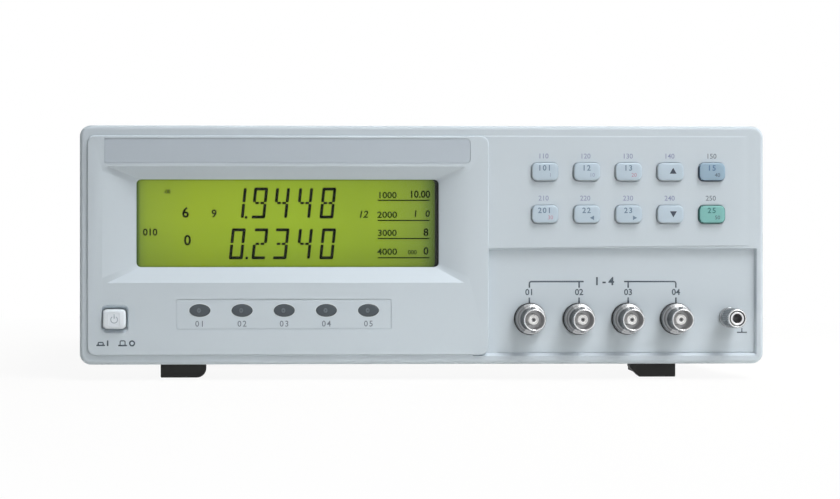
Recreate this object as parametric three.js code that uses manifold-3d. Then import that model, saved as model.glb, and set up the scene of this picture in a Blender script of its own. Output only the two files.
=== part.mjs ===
// A bench LCR meter as an assembly of its separate pieces, in millimetres.
// +X is to the right seen from the front, +Y runs from the front to the rear and +Z is up.
// Depths are counted from the face of the display field, heights from the bench.
// Places on the front are shares of the fascia, counted from its lower left corner.

import * as THREE from "three";
import { mergeVertices } from "three/addons/utils/BufferGeometryUtils.js";
import Module from "manifold-3d";

const wasm = await Module();
wasm.setup();

// Running clearances and cuts
const fitGap = 0.25; // between two pieces that touch
const slideGap = 0.3; // round a piece that slides in a hole
const cutOverrun = 3; // how far a cut runs past the face it opens

// Fascia, outside
const fasciaWidth = 307;
const fasciaHeight = 107.5;
const fasciaLift = 6.8; // clear height over the bench
const fasciaCornerRadius = 5;
const fasciaEdgeRound = 1.6;
const fasciaWall = 2.6;
const rimLeft = 3.3;
const rimRight = 3.7;
const rimTop = 4.3;
const rimBottom = 4.2;

// Fascia, the four levels of its face
const keypadSetback = 0.8;
const rimSetback = 1.7;
const terminalSetback = 2.9;
const plateauChamferWidth = 0.7;
const plateauChamferDepth = 1;
const plateauCornerRadius = 3.6;
const smallCornerRadius = 0.6;
const keypadFadeWidth = 5.8; // the keypad field runs out into the right rim
const creaseSlope = 0.9; // sloped face under the keypad field
const terminalSlope = 1.2; // sloped walls right of and below the terminal field
const plateauLap = 1; // how deep a raised field reaches into the body
const stepShare = 0.5987; // edge between the display field and the right half
const creaseLeftShare = 0.4753;
const creaseRightShare = 0.4893;

// Display surround and title recess
const displayXShare = 0.3026;
const displayZShare = 0.587;
const surroundWidth = 164;
const surroundHeight = 52.6;
const surroundDepth = 5.5;
const surroundRadius = 2;
const windowXShare = 0.3059;
const windowZShare = 0.5926;
const windowWidth = 137.6;
const windowHeight = 39.7;
const windowRadius = 2.2;
const windowLand = 2; // straight wall behind the slope
const titleXShare = 0.3046;
const titleZShare = 0.8912;
const titleWidth = 165;
const titleHeight = 12;
const titleDepth = 0.35;

// Display stack behind the surround
const windowSheet = 1.2;
const windowMargin = 3;
const lcdThickness = 2;
const lcdMargin = 1.5;
const lcdFrameWall = 2;
const lcdFrameLip = 1.6; // how far the frame reaches forward round the glass
const backlightDepth = 3.4;
const boardThickness = 1.6;
const displayBoardWidth = 160;
const displayBoardHeight = 84;
const displayBoardXShare = 0.3026;
const displayBoardZShare = 0.4949;
const boardNotchWidth = 13;
const boardNotchHeight = 20;
const bossDiameter = 5;
const bossInset = 4;

// Indicator strip
const indicatorCount = 5;
const indicatorPitch = 18.85;
const indicatorWidth = 9.6;
const indicatorHeight = 5.9;
const indicatorXShare = 0.2997;
const indicatorZShare = 0.2256;
const stripXShare = 0.3003;
const stripZShare = 0.2102;
const stripWidth = 96.5;
const stripHeight = 13.4;
const stripDepth = 0.3;
const lensPlate = 1.5;
const lampSize = 4;
const lampReach = 1; // from the lens plate to the lamp

// Power button and switch
const powerXShare = 0.0531;
const powerZShare = 0.1907;
const powerCapWidth = 10.3;
const powerCapHeight = 8.8;
const powerCapRadius = 1.8;
const powerWellWidth = 11.8;
const powerWellHeight = 12.2;
const powerWellDepth = 1.5;
const powerProud = 1.8;
const powerTravelOut = 3.5;
const powerFlange = 1.1;
const powerFlangeDepth = 1;
const rodSize = 3.6;
const rodEngagement = 10.5; // length of the rod inside the switch at rest
const switchWidth = 16;
const switchHeight = 14;
const switchDepth = 22.5;
const switchWellSpare = 1.5; // room past the rod for pressing it further in
const switchTagLength = 5;
const switchTagThickness = 0.8;
const switchTagWidth = 4.8;

// Keys
const keyColumns = 5;
const keyRows = 2;
const keyXShare = 0.8035;
const keyZShare = 0.7167;
const keyPitchX = 18.85;
const keyPitchZ = 19.05;
const keyWidth = 11.8;
const keyHeight = 8.6;
const keyRadius = 2.4;
const keyEdge = 0.9;
const keyProud = 1.8;
const keyTravel = 1;
const keyFlange = 1.3;
const keyFlangeDepth = 1;
const keyStem = 3.2;
const keyStemReach = 4.2; // from the flange to the end of the stem
const keySwitchSize = 7;
const keySwitchSpare = 0.4; // between the pressed stem and the floor of its well
const keySwitchFloor = 0.7;
const keySwitchStandoff = 1.7; // from the pressed flange to the switch
const keypadBoardMarginX = 11;
const keypadBoardMarginZ = 10;

// Coaxial terminals
const terminalCount = 4;
const terminalPitch = 22;
const terminalXShare = 0.7674;
const terminalZShare = 0.1888;
const bushingDiameter = 14.4;
const bushingThickness = 1.2;
const bushingSleeve = 1; // wall of the sleeve through the fascia
const shellFlangeDiameter = 13.8;
const shellFlangeThickness = 2.2;
const shellFlangeBevel = 0.5;
const shellBarrelDiameter = 9.7;
const shellBarrelLength = 10;
const shellBoreDiameter = 8.1;
const shellBoreDepth = 8.6;
const shellThreadDiameter = 9.2;
const shellThreadLength = 10.4;
const shellMouthBevel = 0.5;
const lugDiameter = 2;
const lugHeight = 0.9;
const lugSetback = 4.6; // from the mouth to the centre of a bayonet lug
const insulatorDiameter = 4.8;
const insulatorSetback = 1.4;
const insulatorTail = 1.5; // how far it stands out at the rear
const contactBore = 1.4;
const contactDepth = 5;
const contactDiameter = 1.6;
const contactTail = 3.5;
const nutAcross = 12.7;
const nutThickness = 2.5;

// Ground post
const groundXShare = 0.9534;
const groundZShare = 0.1944;
const postCollarDiameter = 8.9;
const postCollarThickness = 2;
const postSleeveDiameter = 5.8;
const postBoreDiameter = 4.2;
const postBoreDepth = 12;
const postSleeveSetback = 0.4; // from the mouth of the knob to the end of the sleeve
const postThreadDiameter = 5;
const postThreadLength = 9.5;
const postWasherDiameter = 8.4;
const postWasherThickness = 0.8;
const knobDiameter = 8.8;
const knobRingDiameter = 7.4;
const knobLength = 10.6;
const knobBevel = 1;
const knobTeeth = 24;
const knobToothDepth = 0.35;
const postNutAcross = 8;
const postNutThickness = 2.2;

// Case
const subPanelClearance = 1.5;
const subPanelThickness = 1.2;
const subPanelEdgeGap = 0.6;
const postSize = 8; // corner posts of the fascia
const caseLap = 5.5; // how far the case reaches into the fascia
const caseEdgeGap = 0.4;
const caseDepth = 264.5;
const coverSheet = 1;
const traySheet = 1.2;
const trayWallHeight = 8;
const rearPanelThickness = 1.5;
const ventRows = 2;
const ventCount = 10;
const ventPitch = 7;
const ventWidth = 3;
const ventHeight = 22;
const ventRowGap = 8;
const ventFieldShare = 0.66; // centre of the vents along the depth of the case
const floorVentCount = 7;
const floorVentLength = 44;

// Feet and tilt legs
const footShare = 0.698; // centre of a foot as a share of half the width
const footWidth = 21.1;
const footCornerRadius = 4.5;
const footSmallRadius = 1;
const frontFootFace = 14.5; // behind the display field
const frontFootLength = 46;
const rearFootLength = 26;
const rearFootInset = 16;
const legWidth = 11;
const legThickness = 3.6;
const legLength = 33;
const legRecessGap = 0.4;
const legHingeSetback = 6; // from the front of the foot
const legNoseGap = 0.9; // in front of the hinge, so that the leg can lean forward
const legPinDiameter = 3;
const legPinLength = 2.2;
const legFloorGap = 0.5;

// Rear panel fittings
const inletXShare = 0.158;
const inletZShare = 0.36;
const inletFlangeWidth = 36;
const inletFlangeHeight = 46;
const inletFlangeThickness = 3;
const inletFlangeRadius = 3;
const inletBodyWidth = 28.4;
const inletBodyHeight = 38;
const inletBodyDepth = 25;
const inletOpeningWidth = 24.4;
const inletOpeningHeight = 16.9;
const inletOpeningDepth = 16;
const inletOpeningChamfer = 4;
const inletOpeningDrop = 7.5; // below the centre of the body
const inletPinWidth = 2;
const inletPinHeight = 4;
const inletPinSpacing = 7;
const inletPinReach = 14;
const inletEarthLift = 2;
const inletTagLength = 7;
const drawerWidth = 24.4;
const drawerHeight = 9;
const drawerLift = 11; // above the centre of the body
const drawerHold = 4; // length that stays in the inlet when the drawer is out
const drawerWall = 1.2;
const drawerFloor = 1.2;
const drawerTravel = 18;
const drawerGripWidth = 8;
const drawerGripDepth = 1;
const fuseDiameter = 5;
const fuseLength = 20;
const socketZShare = 0.265;
const serialXShare = 0.62;
const serialWidth = 16.9;
const handlerXShare = 0.825;
const handlerWidth = 38.9;
const socketHeight = 8.3;
const socketTaper = 1.4;
const socketRadius = 2.4;
const socketReach = 5.8;
const socketFlangeThickness = 0.8;
const socketFlangeHeight = 12.5;
const socketFlangeMargin = 7;
const socketBodyDepth = 9;

// Boards
const pillarHeight = 8;
const pillarDiameter = 6;
const mainBoardLeftShare = 0.321;
const mainBoardRightShare = 0.956;
const mainBoardFrontInset = 20.5;
const mainBoardRearInset = 14;
const pillarInset = 6;
const powerBoardFrontInset = 44;
const powerBoardGap = 5.5; // round the power board, to what stands beside it
const boardGrid = 2.54; // pitch of the holes in the boards, and the unit of the parts on them
const heatSinkShare = 0.48; // of the length of the power board
const heatSinkHeight = 32;
const heatSinkDepth = 14;
const heatSinkBase = 3;
const heatSinkFins = 6;
const heatSinkFin = 1.2;

// Transformer
const coreWidth = 66;
const coreHeight = 55;
const coreStack = 34;
const coreLimb = 11;
const windingWall = 9.6; // copper and bobbin round the centre limb
const transformerXShare = 0.178;
const transformerInset = 84; // from the rear of the case to its centre
const coreFootHeight = 2;
const coreFootReach = 9;

// Internal wiring
const ribbonWidth = 24;
const ribbonThickness = 1;
const ribbonXShare = 0.42;
const ribbonZShare = 0.46;
const ribbonPlugHeight = 5;
const ribbonSteps = 6;
const leadDiameter = 3;
const leadPlugHeight = 6;
const leadPlugDepth = 7;
const leadBend = 6;
const leadSteps = 5;
const mainsLeadDiameter = 4.6;
const mainsLeadSteps = 20;
const mainsLeadBend = 8;

// Fineness of round forms
const cornerSteps = 3;
const softCornerSteps = 4;
const roundSides = 20;
const smallRoundSides = 12;
const tinyRoundSides = 8;
const cableSides = 6;
const ovalSides = 16;

// Derived faces and depths
const fasciaLeft = -fasciaWidth / 2;
const fasciaRight = fasciaWidth / 2;
const fasciaBottom = fasciaLift;
const fasciaTop = fasciaLift + fasciaHeight;
const across = (share) => fasciaLeft + share * fasciaWidth;
const up = (share) => fasciaBottom + share * fasciaHeight;
const stepX = across(stepShare);
const creaseLeft = up(creaseLeftShare);
const creaseRight = up(creaseRightShare);

const windowSeat = surroundDepth + windowLand;
const windowFront = windowSeat + fitGap;
const windowBack = windowFront + windowSheet;
const lcdFront = windowBack + fitGap;
const lcdBack = lcdFront + lcdThickness;
const backlightFront = lcdBack + fitGap;
const displayBoardFront = backlightFront + backlightDepth;
const displayBoardBack = displayBoardFront + boardThickness;
const subPanelFront = displayBoardBack + subPanelClearance;
const subPanelBack = subPanelFront + subPanelThickness;
const caseFront = subPanelBack + fitGap;
const fasciaDepth = caseFront + caseLap;
const caseRear = caseFront + caseDepth;

const cavityLeft = fasciaLeft + fasciaWall;
const cavityRight = fasciaRight - fasciaWall;
const cavityBottom = fasciaBottom + fasciaWall;
const cavityTop = fasciaTop - fasciaWall;
const cavityRadius = fasciaCornerRadius - fasciaWall;
const coverRadius = cavityRadius - caseEdgeGap;
const coverLeft = cavityLeft + caseEdgeGap;
const coverRight = cavityRight - caseEdgeGap;
const coverTop = cavityTop - caseEdgeGap;
const trayBottom = cavityBottom + caseEdgeGap;
const trayLeft = coverLeft + coverSheet + fitGap;
const trayRight = coverRight - coverSheet - fitGap;
const trayFloor = trayBottom + traySheet;
const boardBottom = trayFloor + pillarHeight + fitGap;
const boardTop = boardBottom + boardThickness;
const rearPanelFront = caseRear - rearPanelThickness;
const mainsLane = trayLeft + traySheet + mainsLeadDiameter; // the mains lead runs along the left wall
const transformerY = caseRear - transformerInset;
const windingFront = transformerY - coreStack / 2 - fitGap - windingWall;

const keypadWallBack = keypadSetback + fasciaWall;
const keyFlangeFront = keypadWallBack + slideGap;
const keyFlangeBack = keyFlangeFront + keyFlangeDepth;
const keyStemEnd = keyFlangeBack + keyStemReach;
const keySwitchFront = keyFlangeBack + keyTravel + keySwitchStandoff;
const keyWellFloor = keyStemEnd + keyTravel + keySwitchSpare;
const keypadBoardFront = keyWellFloor + keySwitchFloor;
const keypadBoardBack = keypadBoardFront + boardThickness;

const terminalWallBack = terminalSetback + fasciaWall;
const bushingFront = terminalSetback - fitGap - bushingThickness;
const shellFlangeBack = bushingFront - fitGap;
const shellFlangeFront = shellFlangeBack - shellFlangeThickness;
const shellMouth = shellFlangeFront - shellBarrelLength;
const shellRear = shellFlangeBack + shellThreadLength;
const sleeveBore = shellThreadDiameter + 2 * fitGap;
const sleeveDiameter = sleeveBore + 2 * bushingSleeve;
const terminalHole = sleeveDiameter + 2 * fitGap;
const insulatorRear = shellRear + insulatorTail;
const contactRear = insulatorRear + contactTail;

const postCollarBack = terminalSetback - fitGap;
const postCollarFront = postCollarBack - postCollarThickness;
const postThreadRear = postCollarBack + postThreadLength;
const postWasherBack = postCollarFront - fitGap;
const postWasherFront = postWasherBack - postWasherThickness;
const knobBack = postWasherFront - fitGap;
const knobMouth = knobBack - knobLength;
const postSleeveFront = knobMouth + postSleeveSetback;

const powerCapFront = -powerProud;
const powerCapBack = fasciaWall + slideGap + powerTravelOut + powerFlangeDepth;
const switchFront = subPanelBack + fitGap;
const rodEnd = switchFront + rodEngagement;

const inletFlangeFront = caseRear + fitGap;
const drawerDepth = drawerTravel + drawerHold;
const inletFlangeRear = inletFlangeFront + inletFlangeThickness;
const inletBodyFront = inletFlangeRear - inletBodyDepth - inletFlangeThickness;
const socketFlangeRear = caseRear + fitGap + socketFlangeThickness;
const socketRear = socketFlangeRear + socketReach;

// Turns a closed geometry into a solid that can be joined and cut.
function toSolid(geometry) {
  const bare = geometry.clone();
  bare.deleteAttribute("normal");
  bare.deleteAttribute("uv");
  const merged = mergeVertices(bare);
  const corners = merged.index.array;
  const kept = [];
  for (let i = 0; i < corners.length; i += 3) {
    const [a, b, c] = corners.slice(i, i + 3);
    if (a !== b && b !== c && c !== a) kept.push(a, b, c);
  }
  return new wasm.Manifold(
    new wasm.Mesh({
      numProp: 3,
      vertProperties: merged.attributes.position.array,
      triVerts: new Uint32Array(kept),
    }),
  );
}

// Joins a list of solids, or cuts a list of solids out of the first.
const join = (solids) => solids.reduce((sum, solid) => sum.add(solid));
const cut = (body, tools) => tools.reduce((left, tool) => left.subtract(tool), body);

// A box between two limits on each axis.
function box([left, right], [front, back], [bottom, top]) {
  const geometry = new THREE.BoxGeometry(right - left, back - front, top - bottom);
  geometry.translate((left + right) / 2, (front + back) / 2, (bottom + top) / 2);
  return toSolid(geometry);
}

// A box round a centre in X and Z, between two depths.
const post = (x, z, width, height, front, back) =>
  box([x - width / 2, x + width / 2], [front, back], [z - height / 2, z + height / 2]);

// Rectangles seen from the front.
const rectBetween = (left, right, bottom, top) => ({ left, right, bottom, top });
const rectAt = (x, z, width, height) =>
  rectBetween(x - width / 2, x + width / 2, z - height / 2, z + height / 2);
const grown = (rect, by) =>
  rectBetween(rect.left - by, rect.right + by, rect.bottom - by, rect.top + by);

// The outline of a rectangle with round corners. The radii run from the lower right corner, anticlockwise.
function outline(rect, radii, steps = cornerSteps) {
  const [lowerRight, upperRight, upperLeft, lowerLeft] = Array.isArray(radii) ? radii : Array(4).fill(radii);
  const corners = [
    { x: rect.right, z: rect.bottom, inX: -1, inZ: 1, radius: lowerRight },
    { x: rect.right, z: rect.top, inX: -1, inZ: -1, radius: upperRight },
    { x: rect.left, z: rect.top, inX: 1, inZ: -1, radius: upperLeft },
    { x: rect.left, z: rect.bottom, inX: 1, inZ: 1, radius: lowerLeft },
  ];
  return corners.flatMap(({ x, z, inX, inZ, radius }, index) =>
    Array.from({ length: steps + 1 }, (_, step) => {
      const angle = ((index - 1 + step / steps) * Math.PI) / 2;
      return new THREE.Vector2(
        x + inX * radius + radius * Math.cos(angle),
        z + inZ * radius + radius * Math.sin(angle),
      );
    }),
  );
}

// A solid through outlines of equal count, each at its own depth, from the front to the back.
function loft(sections) {
  const count = sections[0].points.length;
  const positions = sections.flatMap(({ y, points }) => points.flatMap((p) => [p.x, y, p.y]));
  const index = [];
  for (let row = 0; row + 1 < sections.length; row++) {
    for (let i = 0; i < count; i++) {
      const next = (i + 1) % count;
      const [a, b] = [row * count + i, row * count + next];
      index.push(a, a + count, b, b, a + count, b + count);
    }
  }
  const last = (sections.length - 1) * count;
  for (const [a, b, c] of THREE.ShapeUtils.triangulateShape(sections[0].points, [])) index.push(a, b, c);
  for (const [a, b, c] of THREE.ShapeUtils.triangulateShape(sections.at(-1).points, [])) {
    index.push(last + a, last + c, last + b);
  }
  const geometry = new THREE.BufferGeometry();
  geometry.setAttribute("position", new THREE.Float32BufferAttribute(positions, 3));
  geometry.setIndex(index);
  return toSolid(geometry);
}

// A straight extrusion of an outline seen from the front, between two depths.
function extrudeY(points, front, back) {
  const geometry = new THREE.ExtrudeGeometry(new THREE.Shape(points), {
    depth: back - front,
    bevelEnabled: false,
  });
  geometry.rotateX(Math.PI / 2);
  geometry.translate(0, back, 0);
  return toSolid(geometry);
}

// A straight extrusion of an outline in depth and height, between two places along X.
function extrudeX(points, left, right) {
  const geometry = new THREE.ExtrudeGeometry(new THREE.Shape(points), {
    depth: right - left,
    bevelEnabled: false,
  });
  const turn = new THREE.Matrix4().makeBasis(
    new THREE.Vector3(0, 1, 0),
    new THREE.Vector3(0, 0, 1),
    new THREE.Vector3(1, 0, 0),
  );
  geometry.applyMatrix4(turn);
  geometry.translate(left, 0, 0);
  return toSolid(geometry);
}

// A turned piece about a line along Y. Its profile lists radius and depth, closed on the axis or on itself.
function turned(x, z, profile, sides = roundSides) {
  const points = profile.map(([radius, y]) => new THREE.Vector2(radius, y));
  const geometry = new THREE.LatheGeometry(points, sides);
  geometry.translate(x, 0, z);
  return toSolid(geometry);
}

// A disc or rod along Y between two depths.
function rod(x, z, diameter, front, back, sides = roundSides) {
  const geometry = new THREE.CylinderGeometry(diameter / 2, diameter / 2, back - front, sides);
  geometry.translate(x, (front + back) / 2, z);
  return toSolid(geometry);
}

// A pillar along Z between two heights.
function pillar(x, y, diameter, bottom, top, sides = smallRoundSides) {
  const geometry = new THREE.CylinderGeometry(diameter / 2, diameter / 2, top - bottom, sides);
  geometry.rotateX(Math.PI / 2);
  geometry.translate(x, y, (bottom + top) / 2);
  return toSolid(geometry);
}

// A tube along a curve, closed at both ends.
function tube(points, diameter, steps) {
  const section = new THREE.Shape(
    Array.from({ length: cableSides }, (_, i) => {
      const angle = (i / cableSides) * 2 * Math.PI;
      return new THREE.Vector2((diameter / 2) * Math.cos(angle), (diameter / 2) * Math.sin(angle));
    }),
  );
  const path = new THREE.CatmullRomCurve3(points, false, "centripetal");
  return toSolid(new THREE.ExtrudeGeometry(section, { steps, extrudePath: path, bevelEnabled: false }));
}

// Evenly spaced places round zero.
const spread = (count, pitch) => Array.from({ length: count }, (_, i) => (i - (count - 1) / 2) * pitch);

// Finishes: colour, roughness and metalness of each material.
const finishes = {
  palePlastic: { color: 0xb9c4cc, roughness: 0.6, metalness: 0 },
  keyGrey: { color: 0xaebdc6, roughness: 0.5, metalness: 0 },
  keyBlue: { color: 0x90adc1, roughness: 0.5, metalness: 0 },
  keyGreen: { color: 0x6fb2af, roughness: 0.5, metalness: 0 },
  whiteCap: { color: 0xe9edee, roughness: 0.45, metalness: 0 },
  clearSheet: { color: 0xc8d4b0, roughness: 0.1, metalness: 0 },
  displayGreen: { color: 0x8faa35, roughness: 0.3, metalness: 0 },
  smokedLens: { color: 0x525c65, roughness: 0.35, metalness: 0 },
  blackPlastic: { color: 0x2a2a2b, roughness: 0.6, metalness: 0 },
  blackRubber: { color: 0x232323, roughness: 0.85, metalness: 0 },
  whiteInsulator: { color: 0xe8e6dc, roughness: 0.5, metalness: 0 },
  chrome: { color: 0xc4c8ca, roughness: 0.22, metalness: 1 },
  brass: { color: 0xb08d4c, roughness: 0.35, metalness: 1 },
  zincSheet: { color: 0xa9adae, roughness: 0.45, metalness: 0.9 },
  coverPaint: { color: 0xa9b0b3, roughness: 0.7, metalness: 0 },
  board: { color: 0x2c6b45, roughness: 0.6, metalness: 0 },
  coreSteel: { color: 0x5c5f63, roughness: 0.55, metalness: 0.8 },
  copperWinding: { color: 0xb87333, roughness: 0.5, metalness: 0.4 },
  aluminium: { color: 0xb4b8ba, roughness: 0.4, metalness: 1 },
  greyCable: { color: 0x8b9094, roughness: 0.7, metalness: 0 },
  fuseGlass: { color: 0xd9dcd6, roughness: 0.15, metalness: 0 },
};

const meter = new THREE.Group();

// Adds one piece to the meter as a named mesh.
function addPiece(name, solid, finish) {
  const { vertProperties, triVerts, numProp } = solid.getMesh();
  const geometry = new THREE.BufferGeometry();
  const positions = new THREE.BufferAttribute(new Float32Array(vertProperties), numProp);
  geometry.setAttribute("position", positions);
  geometry.setIndex(new THREE.BufferAttribute(new Uint32Array(triVerts), 1));
  geometry.computeVertexNormals();
  const mesh = new THREE.Mesh(geometry, new THREE.MeshStandardMaterial(finishes[finish]));
  mesh.name = name;
  meter.add(mesh);
}

// Shared places on the front
const displayField = rectBetween(
  fasciaLeft + rimLeft,
  stepX,
  fasciaBottom + rimBottom,
  fasciaTop - rimTop,
);
const surround = rectAt(across(displayXShare), up(displayZShare), surroundWidth, surroundHeight);
const windowRect = rectAt(across(windowXShare), up(windowZShare), windowWidth, windowHeight);
const stripRect = rectAt(across(stripXShare), up(stripZShare), stripWidth, stripHeight);
const power = { x: across(powerXShare), z: up(powerZShare) };
const powerCap = rectAt(power.x, power.z, powerCapWidth, powerCapHeight);
const lenses = spread(indicatorCount, indicatorPitch).map((dx) => ({
  x: across(indicatorXShare) + dx,
  z: up(indicatorZShare),
}));
const keyRowNames = ["top", "bottom"];
const keys = spread(keyRows, keyPitchZ)
  .reverse()
  .flatMap((dz, row) =>
    spread(keyColumns, keyPitchX).map((dx, column) => ({
      name: `key_${keyRowNames[row]}_${column + 1}`,
      last: column === keyColumns - 1,
      row,
      x: across(keyXShare) + dx,
      z: up(keyZShare) + dz,
    })),
  );
const terminals = spread(terminalCount, terminalPitch).map((dx) => ({
  x: across(terminalXShare) + dx,
  z: up(terminalZShare),
}));
const ground = { x: across(groundXShare), z: up(groundZShare) };
const displayBoard = rectAt(
  across(displayBoardXShare),
  up(displayBoardZShare),
  displayBoardWidth,
  displayBoardHeight,
);
const keypadBoard = rectAt(
  across(keyXShare),
  up(keyZShare),
  (keyColumns - 1) * keyPitchX + 2 * keypadBoardMarginX,
  (keyRows - 1) * keyPitchZ + 2 * keypadBoardMarginZ,
);
const displayBosses = [
  { x: displayBoard.left + bossInset, z: displayBoard.top - bossInset },
  { x: displayBoard.right - bossInset, z: displayBoard.top - bossInset },
  { x: displayBoard.right - bossInset, z: displayBoard.bottom + bossInset },
  { x: displayBoard.left + boardNotchWidth + bossInset, z: displayBoard.bottom + bossInset },
];
const keypadBosses = spread(keyColumns - 1, keyPitchX).map((dx) => ({
  x: across(keyXShare) + dx,
  z: up(keyZShare),
}));

// An oval outline seen from the front.
const oval = (x, z, width, height) =>
  Array.from({ length: ovalSides }, (_, i) => {
    const angle = (i / ovalSides) * 2 * Math.PI;
    return new THREE.Vector2(x + (width / 2) * Math.cos(angle), z + (height / 2) * Math.sin(angle));
  });

// The keypad field has a slanted lower edge: the lower points of its outline follow the crease.
function keypadOutline(insetRight, insetTop, liftBottom) {
  const rect = rectBetween(
    stepX - 2 * plateauCornerRadius,
    fasciaRight - rimRight - insetRight,
    creaseLeft + liftBottom,
    fasciaTop - rimTop - insetTop,
  );
  const run = fasciaRight - rimRight - stepX;
  const radii = [smallCornerRadius, plateauCornerRadius, smallCornerRadius, smallCornerRadius];
  return outline(rect, radii).map((p) => {
    if (p.y > (rect.bottom + rect.top) / 2) return p;
    const rise = ((p.x - stepX) / run) * (creaseRight - creaseLeft);
    return new THREE.Vector2(p.x, p.y + rise);
  });
}

function fasciaFace() {
  const outer = rectBetween(fasciaLeft, fasciaRight, fasciaBottom, fasciaTop);
  const arcShare = 1 - Math.SQRT1_2;
  const ring = (y, inset) => ({
    y: rimSetback + y,
    points: outline(grown(outer, -inset), fasciaCornerRadius - inset, softCornerSteps),
  });
  const body = loft([
    ring(0, fasciaEdgeRound),
    ring(arcShare * fasciaEdgeRound, arcShare * fasciaEdgeRound),
    ring(fasciaEdgeRound, 0),
    ring(fasciaDepth - rimSetback, 0),
  ]);

  const recess = (y, inset) => ({
    y,
    points: outline(
      rectBetween(
        stepX - 2 * plateauCornerRadius,
        fasciaRight - rimRight - inset,
        fasciaBottom + rimBottom + inset,
        creaseLeft + creaseSlope,
      ),
      smallCornerRadius,
    ),
  });
  const terminalField = loft([
    recess(-cutOverrun, 0),
    recess(rimSetback, 0),
    recess(terminalSetback, terminalSlope),
  ]);

  const fieldBack = terminalSetback + plateauLap;
  const keypadField = loft([
    { y: keypadSetback, points: keypadOutline(keypadFadeWidth, plateauChamferWidth, creaseSlope) },
    { y: rimSetback, points: keypadOutline(0, 0, creaseSlope / 2) },
    { y: terminalSetback, points: keypadOutline(0, 0, 0) },
    { y: fieldBack, points: keypadOutline(0, 0, 0) },
  ]);
  const level = (y, inset) => ({
    y,
    points: outline(grown(displayField, -inset), plateauCornerRadius - inset, softCornerSteps),
  });
  const raisedField = loft([
    level(0, plateauChamferWidth),
    level(plateauChamferDepth, 0),
    level(fieldBack, 0),
  ]);
  return join([cut(body, [terminalField]), keypadField, raisedField]);
}

function fasciaCavities() {
  const rear = rectBetween(cavityLeft, cavityRight, cavityBottom, cavityTop);
  const rearCavity = extrudeY(
    outline(rear, [smallCornerRadius, cavityRadius, cavityRadius, smallCornerRadius]),
    terminalWallBack,
    fasciaDepth + cutOverrun,
  );
  const shared = terminalWallBack + cutOverrun;
  const behindDisplay = box(
    [displayField.left + fasciaWall, displayField.right - fasciaWall],
    [fasciaWall, shared],
    [displayField.bottom + fasciaWall, displayField.top - fasciaWall],
  );
  const behindKeys = box(
    [stepX, fasciaRight - rimRight - fasciaWall],
    [keypadWallBack, shared],
    [creaseRight + fasciaWall, fasciaTop - rimTop - fasciaWall],
  );
  return [rearCavity, behindDisplay, behindKeys];
}

function fasciaSupports() {
  const housing = loft([
    { y: fasciaWall / 2, points: outline(surround, surroundRadius) },
    { y: windowSeat, points: outline(grown(windowRect, fasciaWall), windowRadius) },
  ]);
  const displayPosts = displayBosses.map(({ x, z }) =>
    rod(x, z, bossDiameter, fasciaWall / 2, displayBoardFront - fitGap, smallRoundSides),
  );
  const keypadPosts = keypadBosses.map(({ x, z }) =>
    rod(x, z, bossDiameter, keypadWallBack - fasciaWall / 2, keypadBoardFront - fitGap, smallRoundSides),
  );
  const cornerPosts = [-1, 1].flatMap((side) =>
    [cavityBottom, cavityTop - postSize].map((bottom) => {
      const wallX = side < 0 ? cavityLeft : cavityRight;
      const inner = wallX - side * postSize;
      const outer = wallX + (side * fasciaWall) / 2;
      return box(
        [Math.min(inner, outer), Math.max(inner, outer)],
        [terminalWallBack - fasciaWall / 2, subPanelFront - fitGap],
        bottom === cavityBottom
          ? [bottom - fasciaWall / 2, bottom + postSize]
          : [bottom, bottom + postSize + fasciaWall / 2],
      );
    }),
  );
  return [housing, ...displayPosts, ...keypadPosts, ...cornerPosts];
}

function fasciaOpenings() {
  const slope = loft([
    { y: -cutOverrun, points: outline(surround, surroundRadius) },
    { y: 0, points: outline(surround, surroundRadius) },
    { y: surroundDepth, points: outline(windowRect, windowRadius) },
    { y: windowSeat + cutOverrun, points: outline(windowRect, windowRadius) },
  ]);
  const titleRect = rectAt(across(titleXShare), up(titleZShare), titleWidth, titleHeight);
  const title = extrudeY(outline(titleRect, windowRadius), -cutOverrun, titleDepth);
  const strip = extrudeY(outline(stripRect, windowRadius), -cutOverrun, stripDepth);
  const lensHoles = lenses.map(({ x, z }) =>
    extrudeY(oval(x, z, indicatorWidth, indicatorHeight), -cutOverrun, fasciaWall + cutOverrun),
  );
  const wellRect = rectAt(power.x, power.z, powerWellWidth, powerWellHeight);
  const buttonHole = grown(powerCap, slideGap);
  const well = loft([
    { y: -cutOverrun, points: outline(wellRect, powerCapRadius) },
    { y: 0, points: outline(wellRect, powerCapRadius) },
    { y: powerWellDepth, points: outline(buttonHole, powerCapRadius) },
    { y: fasciaWall + cutOverrun, points: outline(buttonHole, powerCapRadius) },
  ]);
  const keyHoles = keys.map(({ x, z }) =>
    extrudeY(
      outline(rectAt(x, z, keyWidth + 2 * slideGap, keyHeight + 2 * slideGap), keyRadius),
      -cutOverrun,
      keypadWallBack + fitGap,
    ),
  );
  const terminalHoles = terminals.map(({ x, z }) =>
    rod(x, z, terminalHole, -cutOverrun, terminalWallBack + cutOverrun),
  );
  const postHole = rod(
    ground.x,
    ground.z,
    postThreadDiameter + 2 * fitGap,
    -cutOverrun,
    terminalWallBack + cutOverrun,
    smallRoundSides,
  );
  return [slope, title, strip, well, postHole, ...lensHoles, ...keyHoles, ...terminalHoles];
}

function addFascia() {
  const shell = cut(fasciaFace(), fasciaCavities());
  const supported = join([shell, ...fasciaSupports()]);
  addPiece("front_fascia", cut(supported, fasciaOpenings()), "palePlastic");
}

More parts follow.
